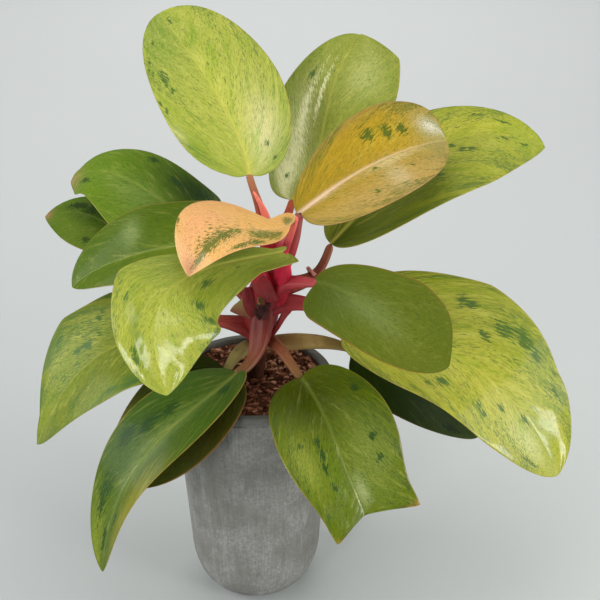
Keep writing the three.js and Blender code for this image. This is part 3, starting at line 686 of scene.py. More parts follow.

# %% [markdown]
# The next table is the painter's notebook: for each leaf its family of finish, its ground, how
# thickly it is flecked, how strongly broad patches of green and yellow show, how clear its margin
# and midrib are, and where its washes, its dark splashes and its cream streaks lie. Along runs
# from 0 at the base to 1 at the tip, and across from -1 at one margin to 1 at the other.
# A few washes are painted light: pale sheens on leaves 11, 13, 14 and 15, a glint near the tip of leaf 3, and
# the shadow of leaf 3 on the base of leaf 4.

# %% Looks of the sixteen blades
PATCHES = dict(lime=0.8, green=0.5, dark=0.25, gold=0.5, peach=0.35)
LOOK_DEFAULTS = dict(puff=0.07, pucker=0.0, margin=0.5, dark=[], cream=[])
LOOKS = {
    1: dict(family="lime", puff=0.12, ground=(168, 174, 70), flecks=0.95, patches=1.0, margin=0.3,
            midrib=0.75,
            washes=[(0.26, 0.45, 0.22, 0.34, 0.85, (214, 208, 150)),
                    (0.95, -0.45, 0.22, 0.7, 0.7, (128, 150, 62)),
                    (0.25, -0.85, 0.25, 0.25, 0.7, (120, 146, 34)),
                    (0.4, -1.0, 0.07, 0.12, 0.8, (214, 210, 140)),
                    (0.5, 0.1, 0.3, 0.25, 0.5, (190, 192, 76)), (0.12, 0.85, 0.12, 0.3, 0.6, (140, 158, 70))],
            dark=[(0.73, -0.72, 0.045, 0.08), (0.66, -0.66, 0.02, 0.04), (0.83, -0.88, 0.012, 0.03),
                  (0.8, -0.93, 0.012, 0.03), (0.77, -0.9, 0.012, 0.03), (0.62, -0.96, 0.02, 0.03),
                  (0.57, -0.92, 0.02, 0.03), (0.9, -0.7, 0.012, 0.05), (0.2, 0.5, 0.02, 0.05),
                  (0.95, 0.1, 0.015, 0.06), (0.1, 0.75, 0.02, 0.04)]),
    2: dict(family="lime", finish="soft_lime", ground=(140, 148, 56), flecks=0.8, patches=0.7, midrib=0.6,
            washes=[(0.12, -0.55, 0.16, 0.34, 0.75, (206, 208, 146)),
                    (0.8, 0.45, 0.16, 0.3, 0.6, (180, 184, 112)),
                    (0.36, -0.5, 0.34, 0.26, 0.75, (210, 212, 142)),
                    (0.5, -0.9, 0.4, 0.2, 0.5, (112, 136, 52)), (0.45, 0.5, 0.2, 0.4, 0.4, (146, 156, 44))],
            dark=[(0.76, -0.55, 0.03, 0.06), (0.1, -0.5, 0.02, 0.05)],
            cream=[(0.5, -0.42, 0.3, 0.1), (0.12, -0.55, 0.2, 0.3), (0.66, -0.2, 0.2, 0.05),
                   (0.3, -0.45, 0.2, 0.2)]),
    3: dict(family="gold", ground=(170, 138, 26), flecks=1.15, margin=0.55, midrib=0.9,
            washes=[(0.5, 0.75, 0.8, 0.5, 1.0, (186, 154, 84)),
                    (0.98, -0.2, 0.16, 1.2, 0.8, (160, 150, 88)),
                    (0.68, -0.4, 0.16, 0.3, 0.6, (192, 160, 34)),
                    (0.65, 0.1, 0.2, 0.09, 0.75, (214, 194, 134)),
                    (0.12, 0.03, 0.16, 0.09, 0.6, (228, 200, 168)),
                    (0.6, 0.5, 0.07, 0.35, 0.5, (212, 194, 150)),
                    # The near-white spot near the tip below is a painted glint.
                    (0.94, -0.45, 0.06, 0.2, 0.8, (226, 222, 200)),
                    (0.5, -1.0, 0.4, 0.15, 0.5, (150, 126, 70))],
            dark=[(0.6, -0.55, 0.035, 0.13), (0.56, -0.56, 0.015, 0.07), (0.7, -0.45, 0.035, 0.15),
                  (0.78, -0.42, 0.03, 0.12), (0.52, 0.1, 0.015, 0.05), (0.43, 0.6, 0.015, 0.06),
                  (0.72, 0.45, 0.012, 0.04)]),
    4: dict(family="lime", ground=(164, 168, 56), flecks=1.2, midrib=0.6,
            # The first, very dark wash at the base is painted shade: the shadow that leaf 3 casts on it.
            washes=[(0.02, 0.2, 0.26, 0.9, 1.0, (52, 66, 4)), (0.62, -0.35, 0.22, 0.3, 0.7, (190, 186, 60)),
                    (0.3, 0.6, 0.25, 0.5, 0.6, (118, 134, 34)), (0.95, 0, 0.12, 0.8, 0.4, (150, 168, 60))],
            dark=[(0.62, 0.25, 0.02, 0.08), (0.66, 0.3, 0.03, 0.05), (0.6, 0.1, 0.012, 0.05),
                  (0.85, -0.5, 0.03, 0.06), (0.76, -0.65, 0.02, 0.06), (0.84, 0.1, 0.025, 0.04),
                  (0.45, 0.5, 0.02, 0.06), (0.92, 0.2, 0.02, 0.05)]),
    5: dict(family="green", ground=(100, 128, 26), flecks=0.65, margin=0.4, midrib=0.6,
            washes=[(0.22, 0.7, 0.32, 0.6, 1.0, (32, 56, 8)), (0.5, -0.2, 0.25, 0.3, 0.5, (118, 140, 66)),
                    (1.0, 0, 0.08, 0.8, 0.6, (170, 130, 96))],
            dark=[(0.86, -0.4, 0.05, 0.12), (0.55, 0.8, 0.03, 0.1), (0.35, 0.6, 0.06, 0.08)]),
    6: dict(family="dark", ground=(82, 106, 22), flecks=0.75, margin=0.4, midrib=0.4,
            washes=[(1.0, 0.1, 0.07, 0.6, 0.7, (176, 120, 96)), (0.5, -0.5, 0.3, 0.4, 0.5, (104, 122, 34)),
                    (0.4, 0.2, 0.3, 0.5, 0.9, (42, 64, 16))],
            dark=[(0.7, 0.4, 0.12, 0.2), (0.4, -0.7, 0.05, 0.1), (0.55, 0.3, 0.08, 0.2)]),
    7: dict(family="green", finish="satin", ground=(80, 102, 10), flecks=0.5, margin=0.7, midrib=0.6,
            washes=[(0.25, -0.3, 0.25, 0.6, 0.5, (112, 126, 28)), (0.8, 0.5, 0.3, 0.4, 0.4, (70, 98, 24)),
                    (0.6, 0.5, 0.05, 0.3, 0.5, (150, 164, 104))]),
    8: dict(family="peach", ground=(230, 176, 104), flecks=0.55, margin=0.6, midrib=0.25,
            washes=[(0.9, 0.8, 0.12, 0.4, 0.5, (206, 178, 96)), (0.5, 1.0, 0.2, 0.35, 0.5, (232, 156, 112)),
                    (0.15, 0, 0.15, 1.0, 0.4, (214, 164, 76)), (0.8, 0.5, 0.25, 0.35, 0.5, (234, 160, 122)),
                    (0.97, 0, 0.05, 0.5, 0.7, (170, 96, 66))],
            dark=[(0.9, -0.15, 0.08, 0.2), (0.82, -0.15, 0.1, 0.3), (0.72, -0.16, 0.1, 0.3),
                  (0.63, -0.14, 0.08, 0.22), (0.48, -0.5, 0.08, 0.3), (0.4, -0.5, 0.09, 0.4),
                  (0.32, -0.55, 0.08, 0.4), (0.26, -0.6, 0.05, 0.25), (0.56, -0.85, 0.12, 0.16),
                  (0.7, -0.85, 0.1, 0.1), (0.07, 0.1, 0.05, 0.5), (0.8, 0.95, 0.03, 0.05)]),
    9: dict(family="lime", puff=0.3, pucker=0.8, ground=(162, 168, 64), flecks=1.0, midrib=0.35,
            washes=[(0.25, 0.5, 0.3, 0.6, 0.9, (106, 124, 48)), (0.1, -0.6, 0.22, 0.5, 0.7, (118, 140, 52)),
                    (0.45, -0.6, 0.18, 0.35, 0.6, (134, 150, 44)),
                    (0.8, 0.4, 0.12, 0.15, 0.6, (110, 132, 24)),
                    (0.85, -0.1, 0.18, 0.3, 0.4, (178, 182, 62)),
                    (-0.03, -0.95, 0.16, 0.4, 1.0, (122, 122, 30)),
                    (0.8, 0.42, 0.1, 0.1, 0.7, (118, 136, 14))],
            dark=[(0.38, -0.35, 0.035, 0.1), (0.52, -0.6, 0.05, 0.12), (0.62, -0.85, 0.07, 0.16),
                  (0.87, 0.6, 0.04, 0.1), (0.75, -0.96, 0.1, 0.05), (0.2, -0.3, 0.02, 0.05),
                  (0.66, 0.7, 0.03, 0.05)]),
    10: dict(family="lime", finish="soft_lime", ground=(110, 120, 34), flecks=1.4, midrib=0.3,
             washes=[(0.85, 0.3, 0.25, 0.6, 0.5, (136, 152, 56)),
                     (0.5, -0.9, 0.4, 0.25, 0.6, (112, 134, 34)),
                     (0.55, 0.6, 0.25, 0.3, 0.4, (170, 176, 84))],
             dark=[(0.6, 0.28, 0.035, 0.09), (0.66, 0.3, 0.025, 0.06), (0.5, 0.6, 0.015, 0.08),
                   (0.47, 0.68, 0.012, 0.05), (0.53, 0.36, 0.012, 0.07), (0.7, 0.75, 0.03, 0.05),
                   (0.6, -0.85, 0.06, 0.05), (0.45, -0.9, 0.06, 0.05)]),
    11: dict(family="green", finish="satin", ground=(62, 88, 18), flecks=0.45, margin=0.8, midrib=0.55,
             # The first, pale grey-green wash along the midrib is a painted sheen.
             washes=[(0.5, 0, 0.28, 0.25, 0.55, (122, 140, 74)),
                     (0.92, 0.6, 0.14, 0.5, 0.6, (140, 150, 40)), (0.3, 0.8, 0.3, 0.3, 0.7, (60, 88, 26)),
                     (0.75, -0.8, 0.2, 0.4, 0.5, (158, 146, 52))],
             dark=[(0.36, 0.35, 0.06, 0.12), (0.46, 0.45, 0.07, 0.15), (0.55, 0.65, 0.06, 0.16),
                   (0.77, 0.5, 0.09, 0.18), (0.82, -0.3, 0.04, 0.08), (0.9, 0.1, 0.05, 0.1),
                   (0.12, -0.3, 0.04, 0.2)]),
    12: dict(family="dark", ground=(46, 58, 6), flecks=0.4, margin=0.6, midrib=0.35,
             washes=[(0.35, -0.7, 0.3, 0.4, 0.7, (62, 52, 6)), (0.8, -0.8, 0.25, 0.5, 0.7, (84, 92, 20)),
                     (0.8, 0.7, 0.25, 0.4, 0.5, (150, 148, 54))],
             dark=[(0.5, 0.5, 0.1, 0.15)]),
    13: dict(family="green", puff=0.12, pucker=0.4, ground=(92, 108, 14), flecks=1.0, patches=0.55,
             margin=0.45, midrib=0.35,
             washes=[(0.2, 0.2, 0.28, 0.8, 0.9, (58, 68, 4)), (0.6, 0.7, 0.2, 0.25, 0.6, (150, 158, 64)),
                     (0.7, -0.5, 0.25, 0.4, 0.5, (134, 146, 70)),
                     (0.75, 0.25, 0.2, 0.15, 0.5, (92, 116, 16)),
                     # The pale grey-green wash near the tip, second below, is a painted sheen.
                     (0.88, -0.12, 0.09, 0.12, 0.5, (176, 186, 132)),
                     (1.15, 1.0, 0.05, 0.3, 0.9, (186, 92, 58)),
                     (1.15, -1.0, 0.05, 0.2, 0.9, (190, 110, 70))],
             dark=[(0.52, 0.3, 0.05, 0.05), (0.6, 0.33, 0.05, 0.05), (0.68, 0.38, 0.05, 0.05),
                   (0.27, -0.72, 0.035, 0.1), (0.6, -0.6, 0.035, 0.06), (0.74, -0.6, 0.03, 0.06),
                   (0.5, 0.6, 0.015, 0.06), (0.8, 0.4, 0.03, 0.05)]),
    14: dict(family="dark", puff=0.03, ground=(88, 100, 20), flecks=0.4, margin=0.8, midrib=0.35,
             washes=[(0.15, 0.3, 0.25, 0.8, 0.6, (74, 94, 30)), (0.7, 0.3, 0.3, 0.6, 0.4, (104, 112, 26)),
                     # The last, pale grey-green wash in the middle is a painted sheen.
                     (0.42, 0.05, 0.2, 0.3, 0.45, (128, 142, 84))]),
    15: dict(family="lime", puff=0.2, pucker=1.1, ground=(169, 169, 60), flecks=1.1, patches=1.0,
             midrib=0.45,
             washes=[(0.3, -0.3, 0.12, 0.3, 0.6, (120, 128, 26)),
                     (0.55, 0.2, 0.25, 0.4, 0.5, (178, 176, 66)),
                     (0.6, -0.55, 0.12, 0.3, 0.4, (138, 150, 44)),
                     (0.85, 0, 0.1, 0.25, 0.6, (126, 144, 28)), (0.3, -0.9, 0.3, 0.3, 0.4, (148, 158, 46)),
                     (0.72, -0.75, 0.2, 0.25, 0.5, (122, 142, 60)),
                     # The last, whitish wash near the tip is a painted sheen.
                     (0.86, 0.35, 0.12, 0.3, 0.5, (200, 204, 144))],
             dark=[(0.38, -0.68, 0.02, 0.09), (0.42, -0.66, 0.02, 0.06), (0.55, -0.62, 0.05, 0.08),
                   (0.62, -0.72, 0.05, 0.1), (0.68, -0.72, 0.03, 0.07), (0.45, 0.55, 0.03, 0.1),
                   (0.4, 0.7, 0.02, 0.05), (0.79, 0.08, 0.02, 0.06), (0.7, 0.3, 0.02, 0.05),
                   (0.62, 0.55, 0.02, 0.05), (0.5, -0.4, 0.03, 0.05), (0.8, -0.75, 0.03, 0.06),
                   (0.9, 0.7, 0.05, 0.05), (0.66, 0.6, 0.02, 0.06)]),
    16: dict(family="dark", ground=(50, 72, 10), flecks=0.3, margin=0.4, midrib=0.4,
             washes=[(0.8, 0.8, 0.2, 0.3, 0.4, (84, 106, 30))],
             dark=[(0.8, 0.6, 0.08, 0.2)]),
}
print("looks for", len(LOOKS), "leaves")

# %% [markdown]
# One group makes the markings of every blade, above and below. It reads the place on the leaf in
# vein coordinates, so each streak, fleck and ragged edge runs outwards with the veins. Every
# pattern is the same cloudy noise, only stretched and roughened to its own size.

# %% Leaf patterns
LEAF_PATTERNS = {
    "streaks": dict(along=88, across=30, detail=3, roughness=0.6),
    "sectors": dict(along=16, across=7, shift=(0, 5, 0), detail=5, roughness=0.7),
    "clouds": dict(along=7, across=3, detail=3),
    "ragged": dict(along=58, across=24, detail=4, roughness=0.7),
    "grain": dict(along=84, across=50, shift=(2, 4, 0), detail=3, roughness=0.75),
    "specks": dict(along=130, across=66, shift=(3, 7, 0), detail=2, roughness=0.5),
    "dashes": dict(along=66, across=27, shift=(9, 1, 0), detail=3, roughness=0.65),
    "veinlets": dict(along=150, across=60, detail=2),
}
BLACK, WHITE, DEEPER_GREEN = (0, 0, 0, 1), (1, 1, 1, 1), (0.62, 0.82, 0.45, 1)
PALE_GREEN, PALE_VEIN = rgba(214, 208, 110), rgba(225, 225, 150)


def leaf_pattern(tree, place, name):
    """Noise with so many waves along the leaf and so many across it."""
    form = LEAF_PATTERNS[name]
    stretched = stretch(tree, place, (form["along"], form["across"], 1), form.get("shift", (0, 0, 0)))
    return noise(tree, stretched, 1.0, form["detail"], form.get("roughness", 0.55))


print("leaf patterns:", list(LEAF_PATTERNS))

# %% Ground, veins and dark marks
def leaf_ground(tree, entry, patterns):
    """The mesh's own wash, shaded by streaks and grain, with greener and paler patches on it."""
    shade = times(tree, between(tree, patterns["streaks"], 0.3, 0.7, 0.84, 1.1),
                  between(tree, patterns["grain"], 0.3, 0.7, 0.7, 1.2))
    colour = mix(tree, 1.0, entry["Wash"], mix(tree, shade, BLACK, WHITE), "MULTIPLY")
    greener = mix(tree, 1.0, colour, DEEPER_GREEN, "MULTIPLY")
    greening = times(tree, between(tree, patterns["sectors"], 0.5, 0.64, 0.0, 0.7), entry["Patches"])
    colour = mix(tree, greening, colour, greener)
    paling = times(tree, between(tree, patterns["sectors"], 0.47, 0.33, 0.0, 0.4), entry["Patches"])
    return mix(tree, paling, colour, mix(tree, 0.6, colour, PALE_GREEN))


def side_veins(tree, entry, colour):
    """Pale lines at even steps of the vein coordinate: a zigzag wave, kept near its peaks."""
    steps = times(tree, parts(tree, entry["Place"])["X"], 2.0 * SIDE_VEINS)
    zigzag = math_node(tree, "PINGPONG", steps, 1.0)
    pale_line = times(tree, between(tree, zigzag, 0.86, 1.0), entry["Lines"])
    return mix(tree, pale_line, colour, mix(tree, 0.6, colour, PALE_VEIN))


def dark_marks(tree, entry, patterns):
    """Splashes with torn edges, fine specks and short dashes; they crowd where the clouds are."""
    torn = math_node(tree, "ADD", entry["Dark"], swing(tree, patterns["ragged"], 4.2))
    splash = between(tree, torn, 0.5, 0.66, 0.0, 0.88)
    crowd = times(tree, entry["Flecks"], between(tree, patterns["clouds"], 0.32, 0.6, 0.35, 1.25))
    limit = math_node(tree, "SUBTRACT", 0.74, times(tree, crowd, 0.165))
    speck = between(tree, math_node(tree, "SUBTRACT", patterns["specks"], limit), 0.0, 0.07, 0.0, 0.65)
    dash = between(tree, math_node(tree, "SUBTRACT", patterns["dashes"], limit), 0.0, 0.06, 0.0, 0.7)
    return math_node(tree, "MAXIMUM", splash, math_node(tree, "MAXIMUM", speck, dash))


print("ground, veins and dark marks ready")

# %% Leaf markings group
def leaf_markings():
    """From the ground up: patches, vein lines, cream, dark marks, the midrib and the margin."""
    tree, entry, leave = new_group(
        "leaf_markings",
        dict(Wash=(0.3, 0.4, 0.1, 1.0), Place=[0.0, 0.0, 0.0], Dark=0.0, Cream=0.0, Flecks=0.0,
             Patches=0.5, Lines=0.1, Midrib=0.0, Margin=0.0, Dark_Colour=(0.03, 0.08, 0.01, 1.0),
             Cream_Colour=(0.65, 0.65, 0.35, 1.0), Midrib_Colour=(0.6, 0.55, 0.25, 1.0),
             Margin_Colour=(0.5, 0.3, 0.1, 1.0)),
        dict(Colour=tuple, Relief=float, Dullness=float))
    patterns = {name: leaf_pattern(tree, entry["Place"], name) for name in LEAF_PATTERNS}
    colour = side_veins(tree, entry, leaf_ground(tree, entry, patterns))
    run = math_node(tree, "ADD", entry["Cream"], swing(tree, patterns["streaks"], 2.4))
    colour = tinge(tree, colour, entry["Cream Colour"], run, 0.3, 1.1, 0.85)
    colour = mix(tree, dark_marks(tree, entry, patterns), colour, entry["Dark Colour"])
    colour = mix(tree, entry["Midrib"], colour, entry["Midrib Colour"])
    edge = times(tree, entry["Margin"], between(tree, patterns["clouds"], 0.3, 0.55, 0.35, 1.0))
    tree.links.new(mix(tree, edge, colour, entry["Margin Colour"]), leave["Colour"])
    relief = math_node(tree, "ADD", patterns["veinlets"], times(tree, patterns["streaks"], 0.8))
    tree.links.new(relief, leave["Relief"])
    tree.links.new(between(tree, patterns["clouds"], 0.3, 0.7), leave["Dullness"])
    return tree


LEAF_MARKINGS = leaf_markings()
print("group:", LEAF_MARKINGS.name)

# %% [markdown]
# A leaf's gloss is a wax skin over soft green flesh. The Principled shader's coat is that skin,
# sharp and thin, and the roughness below it spreads the rest of the light. Most leaves are
# glossy, a few are only satin and the old dark ones are nearly matt, so there are several finishes.

# %% Blade finishes
CREAM, WAX_ROUGHNESS, LEAF_SPECULAR = (214, 212, 158), 0.08, 0.16
LIME_COLOURS = dict(dark=(62, 94, 44), midrib=(198, 192, 84), margin=(178, 154, 64))
GREEN_COLOURS = dict(dark=(36, 64, 26), midrib=(140, 152, 66))
BLADE_FINISHES = {
    "lime": dict(LIME_COLOURS, roughness=0.25, coat=0.24),
    "soft_lime": dict(LIME_COLOURS, roughness=0.4, coat=0.06, cream=(234, 232, 178)),
    "green": dict(GREEN_COLOURS, margin=(170, 138, 46), roughness=0.24, coat=0.25),
    "satin": dict(GREEN_COLOURS, margin=(164, 134, 50), roughness=0.36, coat=0.08),
    "dark": dict(dark=(30, 50, 18), midrib=(116, 130, 46), margin=(160, 104, 50),
                 roughness=0.45, coat=0.0, lines=0.0),
    "gold": dict(dark=(62, 88, 22), midrib=(240, 206, 172), margin=(176, 122, 92),
                 roughness=0.24, coat=0.3),
    "peach": dict(dark=(72, 96, 28), midrib=(240, 205, 150), margin=(220, 150, 116),
                  roughness=0.26, coat=0.25),
}


def blade_material(name, dark, midrib, margin, roughness, coat, cream=CREAM, lines=0.04, fade=0.0):
    """A blade finish; fade mixes everything towards the pale, matt underside."""
    material, tree, shader = new_material(name, roughness, LEAF_SPECULAR, coat, WAX_ROUGHNESS)
    stored = {label.capitalize(): attribute(tree, label)
              for label in ("dark", "cream", "flecks", "patches", "midrib", "margin")}
    marks = use_group(tree, LEAF_MARKINGS, Wash=attribute(tree, "wash", "Color"),
                      Place=laid_place(tree), Lines=lines,
                      Dark_Colour=rgba(*dark), Cream_Colour=rgba(*cream),
                      Midrib_Colour=rgba(*midrib), Margin_Colour=rgba(*margin), **stored)
    colour = mix(tree, fade, marks["Colour"], rgba(150, 165, 105)) if fade else marks["Colour"]
    tree.links.new(colour, shader.inputs["Base Color"])
    gloss = between(tree, marks["Dullness"], 0.0, 1.0, roughness - 0.05, roughness + 0.08)
    tree.links.new(gloss, shader.inputs["Roughness"])
    tree.links.new(bump(tree, marks["Relief"], 0.00006, 0.5), shader.inputs["Normal"])
    return material


FINISHES = {name: blade_material(f"{name}_blade", **look) for name, look in BLADE_FINISHES.items()}
UNDERSIDE = blade_material("blade_underside", dark=(44, 74, 20), midrib=(190, 175, 110),
                           margin=(190, 130, 80), roughness=0.5, coat=0.0, lines=0.1, fade=0.45)
print("finishes:", list(FINISHES))

# %% [markdown]
# Now the sixteen blades. Each one is a single closed mesh with two materials, the glossy face and
# the paler underside. What changes over a leaf, such as its washes and how strongly its midrib
# shows, is stored at the mesh's points, so that one finish serves every leaf of a family.

# %% Make the blades
MARGIN_START, MARGIN_SPREAD, MARGIN_STRENGTH = 0.965, 0.03, 0.75
PATTERN_STEP = 3.0


def make_blade(number):
    """Leaf's blade from its shape and its looks.

    The midrib's mask is a bell of the distance from it, which narrows and fades towards the tip.
    The margin's mask rises within a thin strip at the edge. The pattern step moves each leaf to
    its own stretch of the noise, so that no two leaves carry the same flecks."""
    look = {**LOOK_DEFAULTS, **LOOKS[number]}
    field = blade_surface({**LEAF_DEFAULTS, **LEAVES[number]}, number, look["puff"], look["pucker"])
    x, across = field["x"], field["across"]
    thin = x.clip(0, 1)
    midrib = np.exp(-(field["distance"] / (1.6 - 1.1 * thin)) ** 2) * (1 - 0.75 * thin)
    margin = np.clip((np.abs(across) - MARGIN_START) / MARGIN_SPREAD, 0, 1) * MARGIN_STRENGTH
    both = lambda values: pack_grid(values, values)
    numbers = dict(
        dark=both(lay_spots(look["dark"], x, across)),
        cream=both(lay_spots(look["cream"], x, across)),
        flecks=both(look["flecks"] * (0.65 + 0.6 * across ** 2)),
        patches=both(np.full(x.shape, look.get("patches", PATCHES[look["family"]]))),
        midrib=both(midrib * look["midrib"]),
        margin=both(margin * look["margin"]),
    )
    washes = both(lay_washes(look["ground"], look["washes"], x, across))
    uv = both(np.stack([field["vein"] + number * PATTERN_STEP, across * 0.5 + 0.5], axis=-1))
    finish = FINISHES[look.get("finish", look["family"])]
    return make_piece(f"blade_{number:02d}", pack_grid(field["upper"], field["lower"]), BLADE_FACES,
                      [finish, UNDERSIDE], [f"leaf_{number:02d}_blade"],
                      numbers, dict(wash=washes), uv, BLADE_KINDS)


blades = [make_blade(number) for number in LEAVES]
print(len(blades), "blades made")

# %% [markdown]
# Stalks and the stem are tubes carried along a curve. A curve object with a round bevel would do
# for a wire, but a stalk is a flattened oval with a shallow channel on the side that its blade
# faces. So its rings of points are worked out here, and they swell into a sheathing base.

# %% Tubes along a curve
START_DOME, END_DOME, PINHOLE, CHANNEL_WIDTH, SMOOTHING = 0.04, 0.05, 0.02, 0.55, 11


def tube(route, widths, face, flatness, channel=0.0, steps=56, sides=28):
    """A closed tube: rings of points round the cubic through the route.

    The section is width*cos across and width*flatness*sin up; channel lowers the middle of its
    upper side. Widths run evenly from start to end, smoothed, and both ends close as domes."""
    curve = curve_through(route)
    place = np.linspace(0, 1, steps + 1)
    width = np.interp(place, np.linspace(0, 1, len(widths)), widths)
    padded = np.pad(width, SMOOTHING // 2, mode="edge")
    soft = np.convolve(padded, np.ones(SMOOTHING) / SMOOTHING, mode="valid")
    dome = rounded(START_DOME - place, START_DOME, PINHOLE)
    dome = dome * rounded(place - (1 - END_DOME), END_DOME, PINHOLE)
    centre = along_curve(curve, place)
    ahead = heading(curve, place)
    aside = unit(np.cross(ahead, np.asarray(face, float)))
    up = np.cross(aside, ahead)
    turn = np.arange(sides) / sides * 2 * np.pi
    reach = (soft * dome)[:, None]
    out = reach * np.cos(turn)
    hollow = channel * np.exp(-(np.cos(turn) / CHANNEL_WIDTH) ** 2) * (np.sin(turn) < 0)
    rise = -reach * flatness * np.sin(turn) * (1 - hollow)
    points = centre[:, None] + aside[:, None] * out[..., None] + up[:, None] * rise[..., None]
    points = np.concatenate([points.reshape(-1, 3), centre[:1], centre[-1:]])
    along = np.concatenate([np.repeat(place, sides), place[:1], place[-1:]])
    around = np.concatenate([np.tile(turn / (2 * np.pi), steps + 1), [0, 0]])
    return points, ring_faces(steps + 1, sides), along, around


def colour_along(stops, place):
    """Colour along the tube: evenly spaced stops joined by straight mixes."""
    at = np.linspace(0, 1, len(stops))
    table = np.array([seen(*stop) for stop in stops])
    return np.stack([np.interp(place, at, table[:, channel]) for channel in range(3)], axis=-1)


print("tubes ready")

# %% [markdown]
# Every stalk has the same satin skin, and only its colours differ. They are stored along each
# tube as a row of stops, and one material adds the fine streaks and the darker blotches, so the
# stem, the stalks and the small sheaths all look like one living plant.

# %% Stalk skin
def stalk_material():
    """Satin skin: the colour along the stalk with fine lengthwise streaks and dark blotches."""
    material, tree, shader = new_material("stalk_skin", 0.48, 0.25, coat=0.06, coat_roughness=0.25)
    base = attribute(tree, "wash", "Color")
    streaks = noise(tree, stretch(tree, laid_place(tree), (5, 26, 1)), 1.0, 3.0, 0.6)
    blotches = noise(tree, own_place(tree), 160.0, 3.0)
    streaked = mix(tree, 0.22, base, rgba(235, 140, 110))
    colour = tinge(tree, base, streaked, streaks, 0.35, 0.7, 0.4)
    blotched = mix(tree, 0.5, colour, rgba(60, 20, 20))
    colour = tinge(tree, colour, blotched, blotches, 0.55, 0.75, 0.5)
    tree.links.new(colour, shader.inputs["Base Color"])
    tree.links.new(bump(tree, streaks, 0.0002, 0.5), shader.inputs["Normal"])
    return material


STALK_SKIN = stalk_material()
TOWARDS_CAMERA = (0, -1, 0.2)


def lay_tube(name, slot, node, stops, route, widths,
             face=TOWARDS_CAMERA, shift=0, repeats=1, **section):
    """A tube in the stalks' skin as a piece; shift and repeats place the pattern along it."""
    points, faces, place, around = tube(route, widths, face, **section)
    uv = np.stack([place * repeats + shift, around], axis=-1)
    return make_piece(name, points, faces, [STALK_SKIN], [node],
                      colours=dict(wash=colour_along(stops, place)), uv=uv)


print("stalk skin:", STALK_SKIN.name)

# %% Sixteen stalks
CRIMSON, WINE, RUST, SALMON = (184, 26, 52), (136, 26, 36), (172, 84, 52), (238, 112, 92)
OLIVE_RED, OLIVE_STALK = (140, 92, 52), (136, 126, 62)
STALK_LOOKS = {
    1: ("stalk_red_brown", [CRIMSON, (176, 40, 54), (150, 82, 56), (160, 108, 68)]),
    2: ("stalk_crimson", [CRIMSON, (160, 60, 55), RUST]),
    3: ("stalk_crimson", [CRIMSON, (170, 40, 58), (146, 62, 60), (160, 84, 84)]),
    4: ("stalk_red_brown", [CRIMSON, (132, 58, 40), (124, 66, 44), (134, 78, 50)]),
    5: ("stalk_red_brown", [CRIMSON, RUST, OLIVE_STALK]),
    6: ("stalk_red_brown", [WINE, RUST, OLIVE_RED]),
    7: ("stalk_red_brown", [WINE, CRIMSON, OLIVE_RED]),
    8: ("stalk_crimson", [CRIMSON, (175, 60, 70), SALMON]),
    9: ("stalk_crimson", [CRIMSON, (196, 26, 62), (186, 40, 66)]),
    10: ("stalk_red_brown", [WINE, (134, 46, 44), (150, 70, 54)]),
    11: ("stalk_red_brown", [(106, 18, 26), (118, 42, 34), (114, 60, 38), (104, 82, 46)]),
    12: ("stalk_olive", [(130, 96, 58), (146, 134, 80), (134, 126, 66)]),
    13: ("stalk_olive", [(124, 50, 40), (134, 76, 50), (112, 84, 44)]),
    14: ("stalk_crimson", [CRIMSON, (164, 44, 56), (170, 70, 74)]),
    15: ("stalk_crimson", [WINE, (160, 46, 56), (156, 64, 62), RUST]),
    16: ("stalk_olive", [(126, 86, 52), (152, 130, 76), (142, 120, 62)]),
}
for number, (slot, stops) in STALK_LOOKS.items():
    leaf = LEAVES[number]
    lay_tube(f"stalk_{number:02d}", slot, f"leaf_{number:02d}_stalk", stops,
             leaf["stalk"], leaf["widths"], leaf["face"], shift=number, flatness=0.75, channel=0.3)
print(len(STALK_LOOKS), "stalks made")

# %% Stem and sheath
# The dark brown stops near the soil are old stem, darkened further as painted shade under the crown.
lay_tube("crimson_stem", "stem_crimson", "stem", [(60, 36, 24), (66, 38, 28), WINE, CRIMSON],
         route=[(1, 5, 152), (3, 3, 200), (8, 2, 242), (14, 0, 272)],
         widths=(6.5, 6, 7.5, 12.5, 13, 9), repeats=3, flatness=1.0, steps=90, sides=48)
lay_tube("salmon_sheath", "sheath_salmon", "sheath", [CRIMSON, SALMON, (255, 140, 118)],
         route=[(17, 3, 266), (14, 8, 300), (10, 9, 318), (3, 9, 333)],
         widths=(3, 3.4, 2.6, 0.7), flatness=0.5, channel=0.5)
print("stem and sheath made")

# %% [markdown]
# Where the stalks crowd together, each one opens into a sheath that wraps the stem, and a fallen
# leaf has left a scar. They could be painted on, but their edges catch the light. So each is a
# small flattened tube that lies on the stem, or on the stalk that it belongs to. The near-black
# strips in the hollow between the sheath bases are painted shadow, not scales of the plant.

